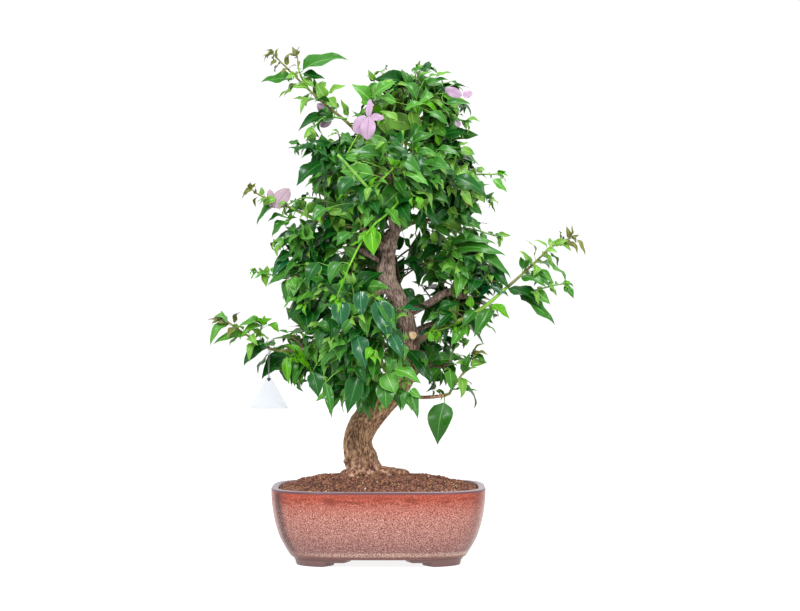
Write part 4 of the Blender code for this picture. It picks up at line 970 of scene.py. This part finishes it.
def leaf_sites(path, spacing, first, last, rng, phase):
    """Places along a twig from its tip back, with their directions, turns and leaf lengths.
    Lengths grow from the tip's to the full size over the first three leaves."""
    along = length_along(path)
    places = np.arange(along[-1] - 1.0, along[-1] * 0.16, -spacing)
    if not len(places):
        places = along[-1:] * 0.9
    origin, ahead, back = (at(path, along, places + shift) for shift in (0.0, 2.0, -2.0))
    k = np.arange(len(places))
    size = (last + (first - last) * np.clip(k / 2.5, 0, 1)) * rng.uniform(0.8, 1.18, len(k))
    return origin, unit(ahead - back), k * GOLDEN_TURN + phase, size, k


def place_leaves(origin, tangent, turn, size, allowed, rng, droop=0.65, spread=1.0):
    """Leaves at their sites: each stands off its twig at its turn, hangs a little and faces out and up.
    A leaf that isn't allowed tries other turns; one that never fits is left out."""
    count = len(origin)
    kept = {}
    placed = np.zeros(count, bool)
    level = unit(np.cross(tangent, UP + 1e-3 * FRONT))
    other = np.cross(level, tangent)
    for attempt in range(LEAF_TRIES):
        angle = (turn + attempt * 2.2)[:, None]
        out = unit(level * np.cos(angle) + 0.4 * other * np.sin(angle))
        stalk = unit(0.45 * tangent + spread * out + 0.15 * UP + rng.normal(0, 0.1, (count, 3)))
        outward = unit(origin * (1, 1, 0) + 1e-6)
        way = unit(0.4 * tangent + 0.8 * spread * out + 0.35 * outward + rng.normal(0, 0.2, (count, 3))
                   + droop * DOWN * rng.uniform(-0.7, 0.8, (count, 1)))
        length = size * (1 - 0.09 * attempt)
        base = origin + stalk * (length * 0.22)[:, None]
        facing = FRONT * np.where(origin[:, 1:2] > 30, -0.4, 0.4)
        face = unit(0.8 * UP + 0.25 * outward + facing + rng.normal(0, 0.38, (count, 3)))
        reach = np.stack([base + way * (length * share)[:, None] for share in (0.35, 0.7, 1.0)], 1)
        ok = allowed(reach) & ~placed
        for key, value in (("root", origin), ("base", base), ("way", way), ("face", face), ("size", length)):
            kept.setdefault(key, np.zeros_like(value))
            kept[key][ok] = value[ok]
        placed |= ok
    return {key: value[placed] for key, value in kept.items()}, placed


class Harvest:
    """Collects leaves by tint, and stems by kind, until each kind is joined into one piece."""

    def __init__(self):
        self.leaves, self.stems = {}, {}

    def add_leaves(self, tint, **leaves):
        """Leaves with their root, base, way, face, size, width, bend and fold, each a row for every leaf."""
        self.leaves.setdefault(tint, []).append(leaves)

    def add_leaf(self, tint, root, base, way, **form):
        """One leaf that stands on its own."""
        one = dict(form, root=root, base=base, way=way)
        self.add_leaves(tint, **{key: np.array([value], float) for key, value in one.items()})

    def add_stem(self, kind, path, first, last):
        """A stem that tapers from its first radius to its last."""
        places = np.linspace(0, len(path) - 1, STEM_ROWS)
        self.stems.setdefault(kind, []).append((at(path, np.arange(len(path)), places),
                                                np.linspace(first, last, STEM_ROWS)))


def deal(harvest, leaves, tint_of, rng, width=0.5):
    """Hands leaves to their tints, with their widths, bends and folds."""
    count = len(leaves["size"])
    form = dict(width=leaves["size"] * width * rng.uniform(0.85, 1.15, count),
                bend=rng.uniform(0.5, 2.3, count), fold=rng.uniform(0.12, 0.75, count))
    for tint in set(tint_of):
        chosen = tint_of == tint
        harvest.add_leaves(tint, **{k: v[chosen] for k, v in (leaves | form).items()})


def grow_mass(stem, space, twigs, limbs, trunk, harvest, rng):
    """Twigs run from the stem to ends spread through the space. Each bears leaves at golden turns, and a tuft
    at its tip. A leaf's tip may pass the crown's edge, but no other part of it."""
    def allowed(reach):
        inside = np.all(space.holds(reach, SPACE_SLACK, 9.0) & (limb_distance(reach, limbs) > 1.0), axis=-1)
        return inside & ~in_the_open(reach, trunk, edges=False) & ~in_the_open(reach[:, :2], trunk)

    # Lighter tints are likelier higher in the crown: painted light from above, painted shade lower down.
    height = np.clip((space.centre[2] - TINT_HEIGHTS[0]) / (TINT_HEIGHTS[1] - TINT_HEIGHTS[0]), 0, 1)
    odds = np.array(TINT_LOW) * (1 - height) + np.array(TINT_HIGH) * height
    harvest.add_stem("woody", stem[:, :3], stem[0, 3], 1.2)
    for number, direction in enumerate(spread_directions(twigs, rng.uniform(0, 2 * math.pi))):
        end = twig_target(space, direction)
        if end is None:
            continue
        away = np.linalg.norm(stem[:, :3] - end, axis=1)
        start = stem[max(int(np.argmin(away)) - 2, 1), :3]
        path = arched(start, end, rng)
        blocked = np.any(limb_distance(path[2:], limbs) < 1.0) or in_the_open(path[3:], trunk)
        if blocked or np.linalg.norm(end - start) < 8:
            continue
        young = rng.uniform() < GREEN_TWIGS
        harvest.add_stem("green" if young else "woody", path, *TWIG_RADII)
        *sites, k = leaf_sites(path, LEAF_SPACING, LEAF_LENGTH, TIP_LEAF_LENGTH, rng, number)
        leaves, placed = place_leaves(*sites, allowed, rng)
        spray = rng.choice(len(TINT_NAMES), p=odds)
        lighter = (k[placed] == 0) & (rng.uniform(size=placed.sum()) < LIGHTER_TIPS)
        tint = np.array(TINT_NAMES)[np.minimum(spray + lighter, len(TINT_NAMES) - 1)]
        deal(harvest, leaves, tint, rng)
        grow_tuft(path, harvest, rng, tint[0] if len(tint) else "mid", allowed)


def grow_tuft(path, harvest, rng, tint, allowed, count=2, size=16.0):
    """A few small young leaves that close round the tip of a twig."""
    tip, way = path[-1], unit(path[-1] - path[-2])
    turn = np.arange(count) * GOLDEN_TURN + rng.uniform(0, 6)
    leaves, placed = place_leaves(np.repeat(tip[None], count, 0), np.repeat(way[None], count, 0), turn,
                                  rng.uniform(0.6, 1.3, count) * size, allowed, rng, droop=0.15, spread=0.5)
    deal(harvest, leaves, np.full(placed.sum(), YOUNGER.get(tint, tint)), rng, 0.45)


def grow_shoot(stem, count, space, limbs, harvest, rng, first, tints):
    """Leaves sit on a long stem at golden turns, smaller and younger towards its tip."""
    def allowed(reach):
        return np.all(space.holds(reach, SPACE_SLACK) & (limb_distance(reach, limbs) > 0.8), axis=-1)

    path = stem[:, :3]
    origin, tangent, turn, _, k = leaf_sites(path, length_along(path)[-1] / count, first, first, rng, 0.4)
    share = np.linspace(1, 0, len(k))
    size = first * (1.0 - 0.62 * share) * rng.uniform(0.8, 1.15, len(k))
    leaves, placed = place_leaves(origin, tangent, turn, size, allowed, rng, droop=0.5)
    tint = np.array(tints)[np.clip((share[placed] * len(tints)).astype(int), 0, len(tints) - 1)]
    deal(harvest, leaves, tint, rng)
    grow_tuft(path, harvest, rng, tints[-1], allowed, 5, 15.0)


def mark_leaves(harvest, limbs, rng):
    """Leaves whose root and tip are given: each arches over, and its stalk starts on the nearest stem. The
    large ones show their faces."""
    stems = np.concatenate([limbs[:, :3], *(path for kind in harvest.stems.values() for path, _ in kind)])
    for depth, rows in MARKED.values():
        for x, z, tip_x, tip_z, width, bend, tint in rows:
            root, tip = np.array((x, depth, z), float), np.array((tip_x, depth - 4.0, tip_z))
            size = float(np.linalg.norm(tip - root)) * bend / (2 * math.sin(bend / 2))
            stray = 0.08 if width > 21 else 0.25
            way, face = unit(tip - root), unit(0.8 * FRONT + UP + rng.normal(0, stray, 3))
            normal = unit(face - way * (face @ way))
            way = way * math.cos(bend / 2) + normal * math.sin(bend / 2)
            near = stems[np.argmin(np.linalg.norm(stems - root, axis=1))]
            harvest.add_leaf(tint, near, root, way, face=face, size=size, width=width, bend=bend,
                             fold=rng.uniform(0.2, 0.6))


# ================================================================ blades, stalks and stems as joined meshes
def blades(base, way, face, size, width, bend, fold, outline, columns, seed):
    """Leaf blades over v from base to tip and u from -1 to 1 across.
    The half width is v^a (1 - v)^b. The midrib turns down evenly by the bend, each half is raised by the
    fold, the margin ripples as a sine along v, and the whole blade is bowed a little to one side."""
    a, b = outline
    v = np.linspace(0, 1, BLADE_ROWS)[1:-1, None]
    u = np.linspace(-1, 1, columns)[None]
    peak = (a / (a + b)) ** a * (b / (a + b)) ** b
    half = v ** a * (1 - v) ** b / peak / 2
    side = unit(np.cross(way, face))
    normal = np.cross(side, way)
    rng = np.random.RandomState(seed)
    wave, phase = rng.uniform(0.3, 1.0, (2, len(size)))
    sweep = rng.uniform(-0.16, 0.16, len(size))
    size, width, bend, fold, wave, phase, sweep = (
        q[:, None, None] for q in (size, width, bend, fold, wave, phase, sweep))
    along, sink = size * np.sin(bend * v) / bend, size * (1 - np.cos(bend * v)) / bend
    x = u * half * width
    lift = np.abs(x) * np.sin(fold) - 0.35 * x ** 2 / width
    lift = lift + RIPPLE * size * wave * u ** 2 * np.sin(2 * math.pi * (1.6 * v + phase)) * half * 2
    ahead, above, beside = along + np.sin(bend * v) * lift, np.cos(bend * v) * lift - sink, x * np.cos(fold)
    beside = beside + sweep * size * (v - v * v)
    points = base[:, None, None] + sum(axis[:, None, None] * part[..., None] for axis, part in (
        (way, ahead), (normal, above), (side, beside)))
    tip = base + way * (size * np.sin(bend) / bend)[:, 0] - normal * (size * (1 - np.cos(bend)) / bend)[:, 0]
    points = np.concatenate((base[:, None], points.reshape(len(base), -1, 3), tip[:, None]), 1)
    inner = grid_faces(BLADE_ROWS - 2, columns) + 1
    ring, last = np.arange(columns - 1) + 1, (BLADE_ROWS - 3) * columns
    low = np.stack((0 * ring, ring + 1, ring), -1)
    high = np.stack((0 * ring + last + columns + 1, ring + last, ring + last + 1), -1)
    faces = repeated(np.vstack((low, inner, high)), len(base), points.shape[1])
    grid = np.stack(np.broadcast_arrays(0.5 + u / 2, v), -1).reshape(-1, 2)
    maps = np.vstack(((0.5, 0.0), grid, (0.5, 1.0)))
    return points.reshape(-1, 3), faces, np.tile(maps, (len(base), 1))


def stems_mesh(paths, radii, sides):
    """Many stems at once: a polygon of some sides carried along each path, closed at both ends."""
    paths, radii = np.array(paths), np.array(radii)
    along = unit(np.gradient(paths, axis=1))
    mean = unit(paths[:, -1] - paths[:, 0])
    across = unit(np.cross(mean, np.where(np.abs(mean[:, 2:]) < 0.8, UP, FRONT)))[:, None]
    side = unit(across - along * np.sum(across * along, -1, keepdims=True))
    other = np.cross(along, side)
    angle = round_angles(sides)[None, None, :, None]
    ring = side[:, :, None] * np.cos(angle) + other[:, :, None] * np.sin(angle)
    points = paths[:, :, None] + ring * radii[:, :, None, None]
    points = np.concatenate((points.reshape(len(paths), -1, 3), paths[:, :1], paths[:, -1:]), 1)
    _, faces = tube(points[0, :-2], paths.shape[1], sides)
    return points.reshape(-1, 3), repeated(faces, len(paths), points.shape[1])


def join_harvest(harvest, tints, stem_looks):
    """One piece for the leaves of each tint, one for all leaf stalks and one for the stems of each kind."""
    masses = list(BUSHY) + list(SHOOTS)
    stalks, stalk_radii = [], []
    for tint, look in tints.items():
        parts = harvest.leaves[tint]
        leaves = {key: np.concatenate([part[key] for part in parts]) for key in parts[0]}
        root, base, way = leaves.pop("root"), leaves["base"], leaves["way"]
        reach = np.linalg.norm(base - root, axis=1)
        t = np.linspace(0, 1, 4)[:, None]
        stalks.append(root[:, None] * (1 - t) + base[:, None] * t
                      + (way * (0.12 * reach)[:, None])[:, None] * (4 * t * (t - 1)))
        stalk_radii.append(np.outer(np.clip(leaves["size"] / 60, 0.3, 0.7), (1.2, 1.0, 0.9, 0.8)))
        is_bract = tint in BRACT_TINTS
        outline, columns = (BRACT_OUTLINE, 9) if is_bract else (LEAF_OUTLINE, 5)
        points, faces, maps = blades(**leaves, outline=outline, columns=columns, seed=len(tint))
        piece(tint if is_bract else "leaves_" + tint, points, faces, look, "foliage", masses, maps=maps)
    stalks, stalk_radii = np.concatenate(stalks), np.concatenate(stalk_radii)
    long_enough = np.linalg.norm(stalks[:, -1] - stalks[:, 0], axis=1) > 0.5
    piece("leaf_stalks", *stems_mesh(stalks[long_enough], stalk_radii[long_enough], 4), stem_looks["green"],
          "foliage", masses)
    for kind, look in stem_looks.items():
        paths, radii = zip(*harvest.stems[kind])
        piece("stems_" + kind, *stems_mesh(paths, radii, 7), look, "foliage", masses)


def stem_path(limb, points):
    """Rows of a mass's stem, from the tip of its limb through the given points."""
    way = unit(limb[-1, :3] - limb[-2, :3])
    start = limb[-1, :3] - way
    return limb_rows(np.vstack((start, start + way * 5.0, points)), limb[-1, 3], STEM_TIP_RADIUS, 4.0)


def make_foliage(rows_of, harvest):
    """Every mass and shoot, grown in the same order and by the same rule as the solids, but finer."""
    spaces, stems = {}, {}
    for name, (limb, centre, radii, _) in BUSHY.items():
        centre = np.array(centre, float)
        tip = rows_of[limb][-1, :3]
        spaces[name] = Space(centre, radii)
        stems[name] = stem_path(rows_of[limb], np.array((centre, centre + 0.35 * (centre - tip))))
    for name, (limb, points, _, width) in SHOOTS.items():
        stems[name] = stem_path(rows_of[limb], np.array(points, float))
        first, last = stems[name][0, :3], stems[name][-1, :3]
        half = np.linalg.norm(last - first) / 2 + width
        spaces[name] = Space((first + last) / 2, (half,) * 3)
        spaces[name].size2 = (half - width * 0.75) ** 2
    for space in spaces.values():
        space.set_neighbours(spaces.values())
    limbs = np.vstack([rows[::2] for rows in rows_of.values()])
    for number, (name, stem) in enumerate(stems.items()):
        rng = np.random.RandomState(SEED + number)
        if name in BUSHY:
            grow_mass(stem, spaces[name], BUSHY[name][3], limbs, rows_of["trunk"], harvest, rng)
        else:
            harvest.add_stem("olive", stem[:, :3], stem[0, 3], 0.9)
            grow_shoot(stem, SHOOTS[name][2], spaces[name], limbs, harvest, rng, SHOOT_LEAF, SHOOT_TINTS)
    everywhere = Space((0, 0, 330), (400, 400, 400))
    for number, (points, radius, count, size, tint, cut) in enumerate(SPRIGS):
        rng = np.random.RandomState(SEED + 50 + number)
        last = radius * (0.9 if cut else 0.6)
        stem = limb_rows(points, radius, last)
        harvest.add_stem("bright" if tint == "lime" else "green", stem[:, :3], radius, last)
        if count:
            grow_shoot(stem, count, everywhere, limbs, harvest, rng, size, (tint, tint))
    rng = np.random.RandomState(SEED + 90)
    mark_leaves(harvest, limbs, rng)
    for root, tip, width, tint in BRACTS:
        way = np.subtract(tip, root)
        harvest.add_leaf(tint, root, root, unit(way), face=unit(FRONT + rng.normal(0, 0.2, 3)),
                         size=np.linalg.norm(way), width=width, bend=0.5, fold=0.15)


# ================================================================ swing tag
def make_tag(card_look, thread_look, eyelet_look):
    """A three-cornered card with rounded corners, an eyelet and a thread looped over the shoot above."""
    x, y, z = TAG_TOP
    width, height = TAG_SIZE
    angle, third = round_angles(96), math.pi / 3
    sector = np.mod(angle - math.pi / 2 + third, 2 * third) - third
    reach = np.minimum(0.5 / np.maximum(np.cos(third - np.abs(sector)), 0.5), TAG_CORNER)
    across, up = np.cos(angle) * reach * width / math.sqrt(3), np.sin(angle) * reach * height / 1.5
    levels = [np.column_stack((x + across * share, 0 * angle + y + depth, z - height * 2 / 3 + up * share))
              for share, depth in TAG_RINGS]
    eyelet = disc(np.array((x, y - 0.4, z - EYELET_DROP)), FRONT, EYELET_RADIUS)
    loop = smooth_path(np.add(THREAD, TAG_TOP), 2.0)
    thread = stems_mesh([loop], [np.full(len(loop), THREAD_RADIUS)], 6)
    card = tube(np.vstack(levels), len(levels), len(angle))
    piece("tag_card", *card, card_look, "card", ["swing_tag"], sharp=30)
    piece("tag_eyelet", *eyelet, eyelet_look, "card", ["swing_tag"])
    piece("tag_thread", *thread, thread_look, "card", ["swing_tag"])


# ================================================================ studio
def make_studio():
    """A white floor that runs out of sight, a white surround and soft lamps."""
    floor_look = Look("lit_white_paper", 0.9, colour="#8c8c8c", Emission_Color=linear("#ffffff"),
                      Emission_Strength=FLOOR_GLOW, Specular_IOR_Level=0.0).material
    left, right, front, back = FLOOR_EDGES
    points = np.array(((left, front, 0), (right, front, 0), (right, back, 0), (left, back, 0)), float)
    piece("floor", points, np.array(((0, 1, 2), (0, 2, 3))), floor_look, stage=True)
    world = bpy.data.worlds.new("studio")
    world.use_nodes = True
    world.node_tree.nodes["Background"].inputs["Color"].default_value = linear("#ffffff")
    world.node_tree.nodes["Background"].inputs["Strength"].default_value = SURROUND_GLOW
    bpy.context.scene.world = world
    for name, place, size, power, colour in LAMPS:
        lamp = bpy.data.lights.new(name, "AREA")
        lamp.shape, lamp.size, lamp.energy, lamp.color = "DISK", size, power, linear(colour)[:3]
        made = bpy.data.objects.new(name, lamp)
        made.location = place
        x, y, z = np.subtract(LAMPS_AIM, place)
        made.rotation_euler = (math.atan2(math.hypot(x, y), -z), 0, math.atan2(-x, y))
        bpy.context.scene.collection.objects.link(made)


def make_camera():
    """A long lens, level with the middle of the plant."""
    camera = bpy.data.cameras.new("camera")
    camera.lens, camera.sensor_width, camera.clip_end = LENS, 36.0, 60.0
    made = bpy.data.objects.new("camera", camera)
    made.location, made.rotation_euler = CAMERA_PLACE, (math.pi / 2, 0, 0)
    bpy.context.scene.collection.objects.link(made)
    bpy.context.scene.camera = made
    bpy.context.scene.view_settings.view_transform = "Standard"


def main():
    make_camera()
    make_studio()
    glaze = glazed_stoneware()
    make_pot(glaze)
    make_feet(glaze)
    make_soil(speckled("fine_soil", 0.95, "#2e1b14", "#4f3024", 500.0),
              [speckled("baked_clay_granules", 0.9, "#74483a", "#9a6a52", 300.0),
               speckled("dark_soil_granules", 0.95, "#4a2f26", "#6b4536", 300.0),
               speckled("bark_chips", 0.9, "#8a6244", "#b08658", 300.0),
               speckled("pale_grit", 0.9, "#b8a690", "#dccfba", 300.0)])
    rows_of = make_limbs(bark(), greening_stem(), speckled("sawn_wood", 0.8, "#b9986c", "#dcc199", 300.0))
    harvest = Harvest()
    make_foliage(rows_of, harvest)
    tints = {
        "deep": leaf("mature_leaf_deep", "#0b470c", "#3f7a34", 0.3, 0.0),
        "mid": leaf("mature_leaf", "#296215", "#669b4c", 0.3, 0.0),
        "bright": leaf("mature_leaf_bright", "#407d1f", "#8abb62", 0.33, 0.0),
        "fresh": leaf("fresh_leaf", "#5a8a29", "#9fc66a", 0.38, 0.0),
        "lime": leaf("new_leaf_lime", "#478c05", "#8fc62f", 0.4, 0.0),
        "glossy": leaf("wet_leaf", "#064a1f", "#3f8a5c", 0.26, 0.3),
        "bronze": leaf("shoot_tip_olive", "#5d6226", "#8f9450", 0.5, 0.0),
        "bract": leaf("papery_bract", "#a3889e", "#7f5f7d", 0.7, 0.0),
        "faded": leaf("faded_bract", "#a08a93", "#7f6672", 0.75, 0.0),
    }
    join_harvest(harvest, tints, {
        "bright": speckled("young_green_stem", 0.4, "#4f8f0e", "#73b222", 90.0),
        "green": speckled("green_stem", 0.45, "#4f7f22", "#6fa03a", 90.0),
        "olive": speckled("hardening_stem", 0.55, "#5c5a2c", "#7d8440", 90.0),
        "woody": speckled("woody_twig", 0.8, "#54482f", "#75664a", 160.0)})
    # The white card is painted light grey: painted shade.
    make_tag(Look("white_card_with_painted_shade", 0.55, colour="#bdc1c4").material,
             Look("cotton_thread", 0.8, colour="#7d7a76").material,
             # The eyelet is a dark disc: painted shade for the hole through the card.
             Look("eyelet_hole_shade", 0.4, colour="#2c2c30").material)


main()
